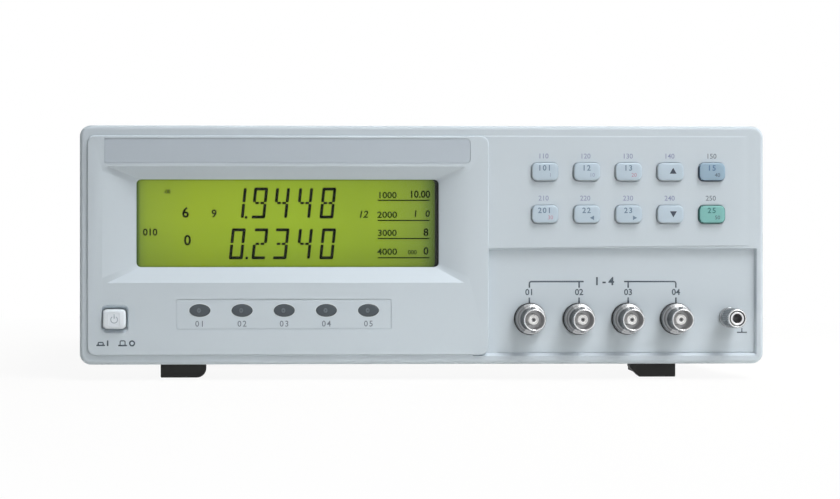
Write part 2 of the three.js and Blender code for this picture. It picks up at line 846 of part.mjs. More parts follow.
function addDisplay() {
  const sheet = extrudeY(outline(grown(windowRect, windowMargin), windowRadius), windowFront, windowBack);
  addPiece("display_window", sheet, "clearSheet");

  const glassRect = grown(windowRect, lcdMargin);
  const glass = extrudeY(outline(glassRect, smallCornerRadius, 1), lcdFront, lcdBack);
  addPiece("lcd_glass", glass, "displayGreen");

  const frameRect = grown(glassRect, fitGap + lcdFrameWall);
  const frame = extrudeY(
    outline(frameRect, smallCornerRadius, 1),
    backlightFront - lcdFrameLip,
    displayBoardFront + boardThickness / 2,
  );
  const seat = extrudeY(
    outline(grown(glassRect, fitGap), smallCornerRadius, 1),
    backlightFront - lcdFrameLip - cutOverrun,
    backlightFront,
  );
  const notch = box(
    [displayBoard.left - cutOverrun, displayBoard.left + boardNotchWidth],
    [displayBoardFront - cutOverrun, displayBoardBack + cutOverrun],
    [displayBoard.bottom - cutOverrun, displayBoard.bottom + boardNotchHeight],
  );
  const sheetBoard = extrudeY(
    outline(displayBoard, smallCornerRadius, 1),
    displayBoardFront,
    displayBoardBack,
  );
  const lampFront = fasciaWall + fitGap + lensPlate + lampReach;
  const lamps = lenses.map(({ x, z }) =>
    post(x, z, lampSize, lampSize, lampFront, displayBoardFront + boardThickness / 2),
  );
  addPiece("display_board", join([cut(join([sheetBoard, frame]), [seat, notch]), ...lamps]), "board");

  const plate = extrudeY(
    outline(stripRect, windowRadius),
    fasciaWall + fitGap,
    fasciaWall + fitGap + lensPlate,
  );
  const heads = lenses.map(({ x, z }) =>
    extrudeY(
      oval(x, z, indicatorWidth - 2 * fitGap, indicatorHeight - 2 * fitGap),
      stripDepth,
      fasciaWall + fitGap + lensPlate / 2,
    ),
  );
  addPiece("indicator_lens_strip", join([plate, ...heads]), "smokedLens");
}

// A moulded cap with rounded front edges, from its face to a given depth.
function roundedCap(rect, radius, edge, front, back) {
  const arcShare = 1 - Math.SQRT1_2;
  const ring = (y, inset) => ({ y, points: outline(grown(rect, -inset), radius - inset) });
  return loft([
    ring(front, edge),
    ring(front + arcShare * edge, arcShare * edge),
    ring(front + edge, 0),
    ring(back, 0),
  ]);
}

function addPowerButton() {
  const cap = roundedCap(powerCap, powerCapRadius, keyEdge, powerCapFront, powerCapBack);
  const flange = post(
    power.x,
    power.z,
    powerCapWidth + 2 * powerFlange,
    powerCapHeight + 2 * powerFlange,
    powerCapBack - powerFlangeDepth,
    powerCapBack,
  );
  const rodBar = post(power.x, power.z, rodSize, rodSize, powerCapBack - powerFlangeDepth / 2, rodEnd);
  addPiece("power_button", join([cap, flange, rodBar]), "whiteCap");

  const body = post(power.x, power.z, switchWidth, switchHeight, switchFront, switchFront + switchDepth);
  const wellSize = rodSize + 2 * slideGap;
  const well = post(
    power.x,
    power.z,
    wellSize,
    wellSize,
    switchFront - cutOverrun,
    rodEnd + switchWellSpare,
  );
  const tags = spread(2, switchWidth / 2).map((dx) =>
    post(
      power.x + dx,
      power.z,
      switchTagThickness,
      switchTagWidth,
      switchFront + switchDepth - switchTagThickness,
      switchFront + switchDepth + switchTagLength,
    ),
  );
  addPiece("power_switch", join([cut(body, [well]), ...tags]), "blackPlastic");
}

function addKeys() {
  const plain = { top: "keyGrey", bottom: "keyGrey" };
  const special = { top: "keyBlue", bottom: "keyGreen" };
  for (const { name, last, row, x, z } of keys) {
    const cap = roundedCap(
      rectAt(x, z, keyWidth, keyHeight),
      keyRadius,
      keyEdge,
      keypadSetback - keyProud,
      keyFlangeBack,
    );
    const flange = post(
      x,
      z,
      keyWidth + 2 * keyFlange,
      keyHeight + 2 * keyFlange,
      keyFlangeFront,
      keyFlangeBack,
    );
    const stem = post(x, z, keyStem, keyStem, keyFlangeFront, keyStemEnd);
    const finish = (last ? special : plain)[keyRowNames[row]];
    addPiece(name, join([cap, flange, stem]), finish);
  }

  const board = extrudeY(outline(keypadBoard, smallCornerRadius, 1), keypadBoardFront, keypadBoardBack);
  const wellSize = keyStem + 2 * slideGap;
  const switches = keys.map(({ x, z }) =>
    post(x, z, keySwitchSize, keySwitchSize, keySwitchFront, keypadBoardFront + boardThickness / 2),
  );
  const wells = keys.map(({ x, z }) =>
    post(x, z, wellSize, wellSize, keySwitchFront - cutOverrun, keyWellFloor),
  );
  addPiece("keypad_board", cut(join([board, ...switches]), wells), "board");
}

// A six-sided nut along Y with a round hole.
function nut(x, z, acrossFlats, hole, front, back) {
  const body = rod(x, z, acrossFlats / Math.cos(Math.PI / 6), front, back, 6);
  return cut(body, [rod(x, z, hole, front - cutOverrun, back + cutOverrun, smallRoundSides)]);
}

function terminalShell(x, z) {
  const barrel = shellBarrelDiameter / 2;
  const flange = shellFlangeDiameter / 2;
  const bore = shellBoreDiameter / 2;
  const throat = insulatorDiameter / 2 + fitGap;
  const thread = shellThreadDiameter / 2;
  const body = turned(x, z, [
    [throat, shellRear],
    [throat, shellMouth + shellBoreDepth],
    [bore, shellMouth + shellBoreDepth],
    [bore, shellMouth + shellMouthBevel],
    [bore + shellMouthBevel / 2, shellMouth],
    [barrel - shellMouthBevel / 2, shellMouth],
    [barrel, shellMouth + shellMouthBevel],
    [barrel, shellFlangeFront],
    [flange - shellFlangeBevel, shellFlangeFront],
    [flange, shellFlangeFront + shellFlangeBevel],
    [flange, shellFlangeBack],
    [thread, shellFlangeBack],
    [thread, shellRear],
    [throat, shellRear],
  ]);
  const lugs = [-1, 1].map((side) => {
    const inner = z + side * (bore + lugHeight / 2);
    const outer = z + side * (barrel + lugHeight);
    return pillar(
      x,
      shellMouth + lugSetback,
      lugDiameter,
      Math.min(inner, outer),
      Math.max(inner, outer),
      tinyRoundSides,
    );
  });
  return join([body, ...lugs]);
}

function terminalInsulator(x, z) {
  const tube = insulatorDiameter / 2;
  const front = shellMouth + insulatorSetback;
  return turned(
    x,
    z,
    [
      [0, contactRear],
      [0, front + contactDepth],
      [contactBore / 2, front + contactDepth],
      [contactBore / 2, front],
      [tube, front],
      [tube, insulatorRear],
      [contactDiameter / 2, insulatorRear],
      [contactDiameter / 2, contactRear],
      [0, contactRear],
    ],
    smallRoundSides,
  );
}

function terminalBushing(x, z) {
  const bore = sleeveBore / 2;
  const sleeve = sleeveDiameter / 2;
  const flange = bushingDiameter / 2;
  return turned(x, z, [
    [bore, terminalWallBack],
    [bore, bushingFront],
    [flange, bushingFront],
    [flange, bushingFront + bushingThickness],
    [sleeve, bushingFront + bushingThickness],
    [sleeve, terminalWallBack],
    [bore, terminalWallBack],
  ]);
}

function addTerminals() {
  const nutFront = terminalWallBack + fitGap;
  terminals.forEach(({ x, z }, i) => {
    addPiece(`bnc_shell_${i + 1}`, terminalShell(x, z), "chrome");
    addPiece(`bnc_insulator_${i + 1}`, terminalInsulator(x, z), "whiteInsulator");
    addPiece(`bnc_bushing_${i + 1}`, terminalBushing(x, z), "blackPlastic");
    const hexagon = nut(x, z, nutAcross, sleeveBore, nutFront, nutFront + nutThickness);
    addPiece(`bnc_nut_${i + 1}`, hexagon, "brass");
  });
}

// A knurled outline: teeth round a circle, seen from the front.
function knurl(x, z, diameter) {
  return Array.from({ length: 2 * knobTeeth }, (_, i) => {
    const radius = diameter / 2 - (i % 2) * knobToothDepth;
    const angle = (i / (2 * knobTeeth)) * 2 * Math.PI;
    return new THREE.Vector2(x + radius * Math.cos(angle), z + radius * Math.sin(angle));
  });
}

function addGroundPost() {
  const { x, z } = ground;
  const collar = postCollarDiameter / 2;
  const sleeve = postSleeveDiameter / 2;
  const bore = postBoreDiameter / 2;
  const thread = postThreadDiameter / 2;
  const stud = turned(x, z, [
    [0, postThreadRear],
    [0, postSleeveFront + postBoreDepth],
    [bore, postSleeveFront + postBoreDepth],
    [bore, postSleeveFront],
    [sleeve, postSleeveFront],
    [sleeve, postCollarFront],
    [collar, postCollarFront],
    [collar, postCollarBack],
    [thread, postCollarBack],
    [thread, postThreadRear],
    [0, postThreadRear],
  ]);
  addPiece("ground_post_stud", stud, "chrome");

  const knobBore = postSleeveDiameter + 2 * fitGap;
  const washer = cut(rod(x, z, postWasherDiameter, postWasherFront, postWasherBack), [
    rod(x, z, knobBore, postWasherFront - cutOverrun, postWasherBack + cutOverrun),
  ]);
  addPiece("ground_post_washer", washer, "chrome");

  const ring = knobRingDiameter / 2;
  const envelope = turned(x, z, [
    [0, knobBack],
    [0, knobMouth],
    [ring, knobMouth],
    [knobDiameter / 2, knobMouth + knobBevel],
    [knobDiameter / 2, knobBack],
    [0, knobBack],
  ], 2 * knobTeeth);
  const teeth = extrudeY(knurl(x, z, knobDiameter), knobMouth, knobBack);
  const knob = cut(envelope.intersect(teeth), [
    rod(x, z, knobBore, knobMouth - cutOverrun, knobBack + cutOverrun),
  ]);
  addPiece("ground_post_knob", knob, "chrome");

  const nutFront = terminalWallBack + fitGap;
  const hexagon = nut(
    x,
    z,
    postNutAcross,
    postThreadDiameter + 2 * fitGap,
    nutFront,
    nutFront + postNutThickness,
  );
  addPiece("ground_post_nut", hexagon, "brass");
}

function addSubPanel() {
  const plate = extrudeY(
    outline(
      rectBetween(
        cavityLeft + subPanelEdgeGap,
        cavityRight - subPanelEdgeGap,
        cavityBottom + subPanelEdgeGap,
        cavityTop - subPanelEdgeGap,
      ),
      fasciaCornerRadius - fasciaWall,
      1,
    ),
    subPanelFront,
    subPanelBack,
  );
  const rodHole = rodSize + 2 * slideGap;
  const through = [subPanelFront - cutOverrun, subPanelBack + cutOverrun];
  const switchHole = post(power.x, power.z, rodHole, rodHole, ...through);
  const terminalWindow = post(
    across(terminalXShare),
    up(terminalZShare),
    (terminalCount - 1) * terminalPitch + bushingDiameter,
    nutAcross,
    ...through,
  );
  const ribbonSlot = post(
    across(ribbonXShare),
    up(ribbonZShare),
    ribbonWidth + postSize,
    postSize,
    ...through,
  );
  addPiece("front_subpanel", cut(plate, [switchHole, terminalWindow, ribbonSlot]), "zincSheet");
}

const mainBoard = {
  left: across(mainBoardLeftShare),
  right: across(mainBoardRightShare),
  front: caseFront + mainBoardFrontInset,
  rear: caseRear - mainBoardRearInset,
};
const powerBoard = {
  left: mainsLane + mainsLeadDiameter / 2 + powerBoardGap,
  right: mainBoard.left - 2 * powerBoardGap,
  front: caseFront + powerBoardFrontInset,
  rear: windingFront - powerBoardGap,
};
const boardPillars = ({ left, right, front, rear }) => [
  { x: left + pillarInset, y: front + pillarInset },
  { x: right - pillarInset, y: front + pillarInset },
  { x: left + pillarInset, y: rear - pillarInset },
  { x: right - pillarInset, y: rear - pillarInset },
];

function addTray() {
  const rear = rearPanelFront - fitGap;
  const outer = box([trayLeft, trayRight], [caseFront, rear], [trayBottom, trayBottom + trayWallHeight]);
  const inner = box(
    [trayLeft + traySheet, trayRight - traySheet],
    [caseFront + traySheet, rear - traySheet],
    [trayFloor, trayBottom + trayWallHeight + cutOverrun],
  );
  const pillars = [...boardPillars(mainBoard), ...boardPillars(powerBoard)].map(({ x, y }) =>
    pillar(x, y, pillarDiameter, trayFloor - traySheet / 2, boardBottom - fitGap, tinyRoundSides),
  );
  const middle = (caseFront + caseRear) / 2;
  const floorVents = spread(floorVentCount, ventPitch).map((dx) =>
    box(
      [dx - ventWidth / 2, dx + ventWidth / 2],
      [middle - floorVentLength / 2, middle + floorVentLength / 2],
      [trayBottom - cutOverrun, trayFloor + cutOverrun],
    ),
  );
  addPiece("chassis_tray", join([cut(outer, [inner, ...floorVents]), ...pillars]), "zincSheet");
}

function addCover() {
  const section = (inset, bottom) => {
    const rect = rectBetween(coverLeft + inset, coverRight - inset, bottom, coverTop - inset);
    const radius = coverRadius - inset;
    return outline(rect, [smallCornerRadius, radius, radius, smallCornerRadius]);
  };
  const outer = extrudeY(section(0, trayBottom - coverRadius), caseFront, caseRear);
  const inner = extrudeY(
    section(coverSheet, trayBottom - cutOverrun - coverRadius),
    caseFront - cutOverrun,
    caseRear + cutOverrun,
  );
  const below = box(
    [coverLeft - cutOverrun, coverRight + cutOverrun],
    [caseFront - cutOverrun, caseRear + cutOverrun],
    [trayBottom - cutOverrun - coverRadius, trayBottom],
  );
  const fieldCentre = caseFront + ventFieldShare * caseDepth;
  const middle = (trayBottom + coverTop) / 2;
  const slots = spread(ventRows, ventHeight + ventRowGap).flatMap((dz) =>
    spread(ventCount, ventPitch).map((dy) => ({ y: fieldCentre + dy, z: middle + dz })),
  );
  const cuts = slots.map(({ y, z }) =>
    box(
      [coverLeft - cutOverrun, coverRight + cutOverrun],
      [y - ventWidth / 2, y + ventWidth / 2],
      [z - ventHeight / 2, z + ventHeight / 2],
    ),
  );
  addPiece("top_cover", cut(outer, [inner, below, ...cuts]), "coverPaint");
}

// Rear panel fittings share these places.
const inlet = { x: across(inletXShare), z: up(inletZShare) };
const sockets = [
  { name: "serial_socket", x: across(serialXShare), width: serialWidth },
  { name: "handler_socket", x: across(handlerXShare), width: handlerWidth },
].map((socket) => ({ ...socket, z: up(socketZShare) }));

// The D-shaped outline of a socket, wider at its top.
function socketOutline(x, z, width, height) {
  const half = width / 2;
  const points = [
    [x - half + socketTaper, z - height / 2],
    [x + half - socketTaper, z - height / 2],
    [x + half, z + height / 2 - socketRadius],
    [x + half - socketRadius, z + height / 2],
    [x - half + socketRadius, z + height / 2],
    [x - half, z + height / 2 - socketRadius],
  ];
  return points.map(([px, pz]) => new THREE.Vector2(px, pz));
}

function addRearPanel() {
  const rect = rectBetween(trayLeft, trayRight, trayBottom, coverTop - coverSheet - fitGap);
  const topRadius = coverRadius - coverSheet;
  const plate = extrudeY(
    outline(rect, [smallCornerRadius, topRadius, topRadius, smallCornerRadius]),
    rearPanelFront,
    caseRear,
  );
  const through = [rearPanelFront - cutOverrun, caseRear + cutOverrun];
  const inletHole = post(
    inlet.x,
    inlet.z,
    inletBodyWidth + 2 * fitGap,
    inletBodyHeight + 2 * fitGap,
    ...through,
  );
  const socketHoles = sockets.map(({ x, z, width }) =>
    post(x, z, width + 2 * fitGap, socketHeight + 2 * fitGap, ...through),
  );
  addPiece("rear_panel", cut(plate, [inletHole, ...socketHoles]), "coverPaint");
}

// The opening for the mains plug, with its two upper corners cut off.
function inletOutline(x, z) {
  const half = inletOpeningWidth / 2;
  const points = [
    [x - half, z - inletOpeningHeight / 2],
    [x + half, z - inletOpeningHeight / 2],
    [x + half, z + inletOpeningHeight / 2 - inletOpeningChamfer],
    [x + half - inletOpeningChamfer, z + inletOpeningHeight / 2],
    [x - half + inletOpeningChamfer, z + inletOpeningHeight / 2],
    [x - half, z + inletOpeningHeight / 2 - inletOpeningChamfer],
  ];
  return points.map(([px, pz]) => new THREE.Vector2(px, pz));
}

function addInlet() {
  const { x, z } = inlet;
  const plugZ = z - inletOpeningDrop;
  const flange = extrudeY(
    outline(rectAt(x, z, inletFlangeWidth, inletFlangeHeight), inletFlangeRadius),
    inletFlangeFront,
    inletFlangeRear,
  );
  const body = post(
    x,
    z,
    inletBodyWidth,
    inletBodyHeight,
    inletBodyFront,
    inletFlangeFront + inletFlangeThickness / 2,
  );
  const opening = extrudeY(
    inletOutline(x, plugZ),
    inletFlangeRear - inletOpeningDepth,
    inletFlangeRear + cutOverrun,
  );
  const drawerHole = post(
    x,
    z + drawerLift,
    drawerWidth + 2 * slideGap,
    drawerHeight + 2 * slideGap,
    inletFlangeRear - drawerDepth - slideGap,
    inletFlangeRear + cutOverrun,
  );
  const places = [
    { dx: -inletPinSpacing, dz: -inletEarthLift },
    { dx: 0, dz: inletEarthLift },
    { dx: inletPinSpacing, dz: -inletEarthLift },
  ];
  const floor = inletFlangeRear - inletOpeningDepth;
  const pins = places.map(({ dx, dz }) =>
    post(
      x + dx,
      plugZ + dz,
      inletPinWidth,
      inletPinHeight,
      floor - inletOpeningDepth / 2,
      floor + inletPinReach,
    ),
  );
  const tags = places.map(({ dx, dz }) =>
    post(
      x + dx,
      plugZ + dz,
      inletPinWidth / 2,
      inletPinHeight,
      inletBodyFront - inletTagLength,
      inletBodyFront + inletPinWidth,
    ),
  );
  const housing = cut(join([flange, body]), [opening, drawerHole]);
  addPiece("power_inlet", join([housing, ...pins, ...tags]), "blackPlastic");

  const drawerZ = z + drawerLift;
  const drawerFront = inletFlangeRear - drawerDepth;
  const block = post(x, drawerZ, drawerWidth, drawerHeight, drawerFront, inletFlangeRear);
  const trough = box(
    [x - drawerWidth / 2 + drawerWall, x + drawerWidth / 2 - drawerWall],
    [drawerFront + drawerWall, drawerFront + drawerWall + fuseDiameter + 2 * fitGap],
    [drawerZ - drawerHeight / 2 + drawerFloor, drawerZ + drawerHeight / 2 + cutOverrun],
  );
  const grip = box(
    [x - drawerGripWidth / 2, x + drawerGripWidth / 2],
    [inletFlangeRear - drawerGripDepth, inletFlangeRear + cutOverrun],
    [drawerZ + drawerHeight / 2 - drawerFloor, drawerZ + drawerHeight / 2 + cutOverrun],
  );
  addPiece("fuse_drawer", cut(block, [trough, grip]), "blackPlastic");

  const fuseY = drawerFront + drawerWall + fitGap + fuseDiameter / 2;
  const fuseZ = drawerZ - drawerHeight / 2 + drawerFloor + fitGap + fuseDiameter / 2;
  const fuse = new THREE.CylinderGeometry(fuseDiameter / 2, fuseDiameter / 2, fuseLength, smallRoundSides);
  fuse.rotateZ(Math.PI / 2);
  fuse.translate(x, fuseY, fuseZ);
  addPiece("mains_fuse", toSolid(fuse), "fuseGlass");
}

function addSockets() {
  for (const { name, x, z, width } of sockets) {
    const plate = extrudeY(
      outline(rectAt(x, z, width + 2 * socketFlangeMargin, socketFlangeHeight), smallCornerRadius, 1),
      caseRear + fitGap,
      socketFlangeRear,
    );
    const shell = extrudeY(
      socketOutline(x, z, width, socketHeight),
      socketFlangeRear - socketFlangeThickness / 2,
      socketRear,
    );
    const back = post(x, z, width, socketHeight, caseRear - socketBodyDepth, socketFlangeRear);
    addPiece(name, join([plate, shell, back]), "zincSheet");
  }
}

// The side outline of a foot under the case: its front end tucks under the fascia.
function addFeet() {
  const footTop = trayBottom - fitGap;
  const tuck = fasciaBottom - fitGap;
  const halfWidth = footWidth / 2;
  const frontY = [frontFootFace, frontFootFace + frontFootLength];
  const rearY = [caseRear - rearFootInset - rearFootLength, caseRear - rearFootInset];
  const legHinge = { y: frontFootFace + legHingeSetback, z: legFloorGap + legThickness / 2 };
  for (const [side, label] of [[-1, "left"], [1, "right"]]) {
    const x = side * footShare * fasciaRight;
    const rect = rectBetween(x - halfWidth, x + halfWidth, 0, footTop);
    const inner = footCornerRadius;
    const radii =
      side < 0
        ? [inner, footSmallRadius, footSmallRadius, footSmallRadius]
        : [footSmallRadius, footSmallRadius, footSmallRadius, inner];
    const block = extrudeY(outline(rect, radii), ...frontY);
    const relief = box(
      [x - footWidth, x + footWidth],
      [frontY[0] - cutOverrun, fasciaDepth + fitGap],
      [tuck, footTop + cutOverrun],
    );
    const recess = box(
      [x - legWidth / 2 - legRecessGap, x + legWidth / 2 + legRecessGap],
      [legHinge.y - legThickness / 2 - legNoseGap, legHinge.y + legLength + legRecessGap],
      [-cutOverrun, legFloorGap + legThickness + legRecessGap],
    );
    const pinHoles = new THREE.CylinderGeometry(
      legPinDiameter / 2 + fitGap,
      legPinDiameter / 2 + fitGap,
      legWidth + 2 * (legPinLength + legRecessGap),
      smallRoundSides,
    );
    pinHoles.rotateZ(Math.PI / 2);
    pinHoles.translate(x, legHinge.y, legHinge.z);
    addPiece(`foot_front_${label}`, cut(block, [relief, recess, toSolid(pinHoles)]), "blackRubber");

    const arm = outline(
      rectBetween(
        legHinge.y - legThickness / 2,
        legHinge.y + legLength,
        legFloorGap,
        legFloorGap + legThickness,
      ),
      [footSmallRadius, footSmallRadius, legThickness / 2 - fitGap, legThickness / 2 - fitGap],
    );
    const pins = new THREE.CylinderGeometry(
      legPinDiameter / 2,
      legPinDiameter / 2,
      legWidth + 2 * legPinLength,
      smallRoundSides,
    );
    pins.rotateZ(Math.PI / 2);
    pins.translate(x, legHinge.y, legHinge.z);
    const leg = join([extrudeX(arm, x - legWidth / 2, x + legWidth / 2), toSolid(pins)]);
    addPiece(`tilt_leg_${label}`, leg, "blackRubber");

    const rearBlock = extrudeY(outline(rect, radii), ...rearY);
    addPiece(`foot_rear_${label}`, rearBlock, "blackRubber");
  }
}

// Parts soldered on the boards: each has a place as a share of the board, and its sizes in steps of the grid.
const mainParts = [
  { xShare: 0.5, yShare: 0.16, width: 36, depth: 16, height: 5 },
  { xShare: 0.22, yShare: 0.45, width: 13, depth: 13, height: 1 },
  { xShare: 0.55, yShare: 0.45, width: 11, depth: 6, height: 1.5 },
  { xShare: 0.55, yShare: 0.55, width: 11, depth: 6, height: 1.5 },
  { xShare: 0.82, yShare: 0.42, width: 8, depth: 5, height: 4 },
  { xShare: 0.82, yShare: 0.52, width: 8, depth: 5, height: 4 },
  { xShare: 0.3, yShare: 0.7, width: 12, depth: 5, height: 1 },
  { xShare: 0.6, yShare: 0.72, width: 17, depth: 8, height: 2 },
];
const mainCapacitors = [
  { xShare: 0.12, yShare: 0.86, diameter: 4, height: 6 },
  { xShare: 0.22, yShare: 0.86, diameter: 4, height: 6 },
  { xShare: 0.32, yShare: 0.86, diameter: 3, height: 5 },
  { xShare: 0.12, yShare: 0.66, diameter: 2.5, height: 4 },
];
const powerCapacitors = [
  { xShare: 0.3, yShare: 0.2, diameter: 7, height: 14 },
  { xShare: 0.65, yShare: 0.2, diameter: 7, height: 14 },
  { xShare: 0.25, yShare: 0.45, diameter: 4, height: 6 },
  { xShare: 0.42, yShare: 0.45, diameter: 4, height: 6 },
];
const onBoard = (board, part) => ({
  x: board.left + part.xShare * (board.right - board.left),
  y: board.front + part.yShare * (board.rear - board.front),
});

function boardWithParts(board, blocks, capacitors) {
  const sheet = box([board.left, board.right], [board.front, board.rear], [boardBottom, boardTop]);
  const sunk = boardTop - boardThickness / 2;
  const boxes = blocks.map((part) => {
    const { x, y } = onBoard(board, part);
    const [width, depth] = [part.width * boardGrid, part.depth * boardGrid];
    return box(
      [x - width / 2, x + width / 2],
      [y - depth / 2, y + depth / 2],
      [sunk, boardTop + part.height * boardGrid],
    );
  });
  const cans = capacitors.map((part) => {
    const { x, y } = onBoard(board, part);
    return pillar(x, y, part.diameter * boardGrid, sunk, boardTop + part.height * boardGrid);
  });
  return join([sheet, ...boxes, ...cans]);
}

function addBoards() {
  const header = box(
    [across(ribbonXShare) - ribbonWidth / 2, across(ribbonXShare) + ribbonWidth / 2],
    [mainBoard.front, mainBoard.front + ribbonPlugHeight],
    [boardTop - boardThickness / 2, boardTop + ribbonPlugHeight],
  );
  addPiece("main_board", join([boardWithParts(mainBoard, mainParts, mainCapacitors), header]), "board");

  const heatSinkLength = heatSinkShare * (powerBoard.rear - powerBoard.front);
  const sinkLeft = powerBoard.right - heatSinkDepth - pillarInset;
  const sinkFront = powerBoard.rear - pillarInset - heatSinkLength;
  const bottom = boardTop - boardThickness / 2;
  const web = box(
    [sinkLeft, sinkLeft + heatSinkBase],
    [sinkFront, sinkFront + heatSinkLength],
    [bottom, boardTop + heatSinkHeight],
  );
  const finPitch = (heatSinkLength - heatSinkFin) / (heatSinkFins - 1);
  const fins = spread(heatSinkFins, finPitch).map((dy) => {
    const y = sinkFront + heatSinkLength / 2 + dy;
    return box(
      [sinkLeft + heatSinkBase / 2, sinkLeft + heatSinkDepth],
      [y - heatSinkFin / 2, y + heatSinkFin / 2],
      [bottom, boardTop + heatSinkHeight],
    );
  });
  addPiece("power_board", join([boardWithParts(powerBoard, [], powerCapacitors), web, ...fins]), "board");
}

function addTransformer() {
  const x = across(transformerXShare);
  const y = transformerY;
  const bottom = trayFloor + fitGap;
  const limb = 2 * coreLimb; // the centre limb is twice as wide as the outer ones
  const depth = [y - coreStack / 2, y + coreStack / 2];
  const stack = box([x - coreWidth / 2, x + coreWidth / 2], depth, [bottom, bottom + coreHeight]);
  const windowZ = [bottom + coreLimb, bottom + coreHeight - coreLimb];
  const windows = [-1, 1].map((side) => {
    const inner = x + side * coreLimb;
    const outer = x + side * (coreWidth / 2 - coreLimb);
    return box(
      [Math.min(inner, outer), Math.max(inner, outer)],
      [depth[0] - cutOverrun, depth[1] + cutOverrun],
      windowZ,
    );
  });
  const feet = box(
    [x - coreWidth / 2 - coreFootReach, x + coreWidth / 2 + coreFootReach],
    [y - coreStack / 4, y + coreStack / 4],
    [bottom, bottom + coreFootHeight],
  );
  addPiece("transformer_core", join([cut(stack, windows), feet]), "coreSteel");

  const core = [limb / 2 + fitGap, coreStack / 2 + fitGap];
  const ring = (growX, growY) =>
    new THREE.Shape(
      outline(
        rectBetween(x - core[0] - growX, x + core[0] + growX, y - core[1] - growY, y + core[1] + growY),
        growX > 0 ? footCornerRadius : smallCornerRadius,
      ),
    );
  const shape = ring(windingWall, windingWall);
  shape.holes.push(ring(0, 0));
  const height = windowZ[1] - windowZ[0] - 2 * fitGap;
  const winding = new THREE.ExtrudeGeometry(shape, { depth: height, bevelEnabled: false });
  winding.translate(0, 0, windowZ[0] + fitGap);
  addPiece("transformer_winding", toSolid(winding), "copperWinding");
}

// A flat cable whose middle line is a list of points in depth and height.
function flatCable(points, thickness, left, right, steps) {
  const curve = new THREE.CatmullRomCurve3(points.map(([y, z]) => new THREE.Vector3(y, z, 0)));
  const count = steps * (points.length - 1);
  const side = (sign) =>
    Array.from({ length: count + 1 }, (_, i) => {
      const share = i / count;
      const place = curve.getPoint(share);
      const along = curve.getTangent(share);
      return new THREE.Vector2(
        place.x - (sign * along.y * thickness) / 2,
        place.y + (sign * along.x * thickness) / 2,
      );
    });
  return extrudeX([...side(-1), ...side(1).reverse()], left, right);
}

function addWiring() {
  const x = across(ribbonXShare);
  const slotZ = up(ribbonZShare);
  const start = displayBoardBack + fitGap;
  const end = mainBoard.front + ribbonPlugHeight / 2;
  const plugTop = boardTop + ribbonPlugHeight + fitGap;
  const ribbon = flatCable(
    [
      [start, slotZ],
      [caseFront + leadBend / 2, slotZ],
      [end, slotZ - 2 * leadBend],
      [end, plugTop],
    ],
    ribbonThickness,
    x - ribbonWidth / 2,
    x + ribbonWidth / 2,
    ribbonSteps,
  );
  addPiece("front_ribbon", ribbon, "greyCable");

  const plugZ = boardTop + fitGap + leadPlugHeight / 2;
  const plugFront = mainBoard.front;
  const leads = terminals.map(({ x: leadX, z }) =>
    tube(
      [
        new THREE.Vector3(leadX, contactRear + fitGap, z),
        new THREE.Vector3(leadX, contactRear + fitGap + leadBend, z),
        new THREE.Vector3(leadX, plugFront - leadBend, plugZ),
        new THREE.Vector3(leadX, plugFront + leadPlugDepth / 2, plugZ),
      ],
      leadDiameter,
      leadSteps,
    ),
  );
  const plug = box(
    [terminals[0].x - leadDiameter, terminals.at(-1).x + leadDiameter],
    [plugFront, plugFront + leadPlugDepth],
    [plugZ - leadPlugHeight / 2, plugZ + leadPlugHeight / 2],
  );
  addPiece("input_leads", join([plug, ...leads]), "greyCable");

  const laneZ = trayBottom + trayWallHeight + mainsLeadDiameter;
  const inletEnd = inletBodyFront - inletTagLength - fitGap;
  const inletLevel = inlet.z - inletOpeningDrop;
  const switchEnd = switchFront + switchDepth + switchTagLength + fitGap;
  const route = [
    new THREE.Vector3(inlet.x, inletEnd, inletLevel),
    new THREE.Vector3(inlet.x, inletEnd - mainsLeadBend, inletLevel),
    new THREE.Vector3((inlet.x + mainsLane) / 2, inletEnd - 2 * mainsLeadBend, (inletLevel + laneZ) / 2),
    new THREE.Vector3(mainsLane, inletEnd - 4 * mainsLeadBend, laneZ),
    new THREE.Vector3(mainsLane, inletEnd - 6 * mainsLeadBend, laneZ),
    new THREE.Vector3(mainsLane, switchEnd + 4 * mainsLeadBend, laneZ),
    new THREE.Vector3(power.x, switchEnd + mainsLeadBend, power.z),
    new THREE.Vector3(power.x, switchEnd, power.z),
  ];
  addPiece("mains_lead", tube(route, mainsLeadDiameter, mainsLeadSteps), "greyCable");
}

addFascia();
addDisplay();
addPowerButton();
addKeys();
addTerminals();
addGroundPost();
addSubPanel();
addTray();
addCover();
addRearPanel();
addInlet();
addSockets();
addFeet();
addBoards();
addTransformer();
addWiring();

// The origin lies on the bench, under the middle of the whole meter.
const frontmost = Math.min(shellMouth, knobMouth);
const rearmost = Math.max(inletFlangeRear, socketRear);
meter.position.y = -(frontmost + rearmost) / 2;

export default meter;
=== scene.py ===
# %% [markdown]
# # The looks of a bench LCR meter
# The CAD model gives every piece its true size and place. This lesson dresses it in Blender, one piece at
# a time: the camera and the light first, then the finishes, and then each part of the front, the case and
# the rear. Lengths are in metres, X runs to the right, Y from the front to the rear and Z up from the bench.

# %% Load the frame
import math

import bmesh
import bpy
from mathutils import Matrix, Vector


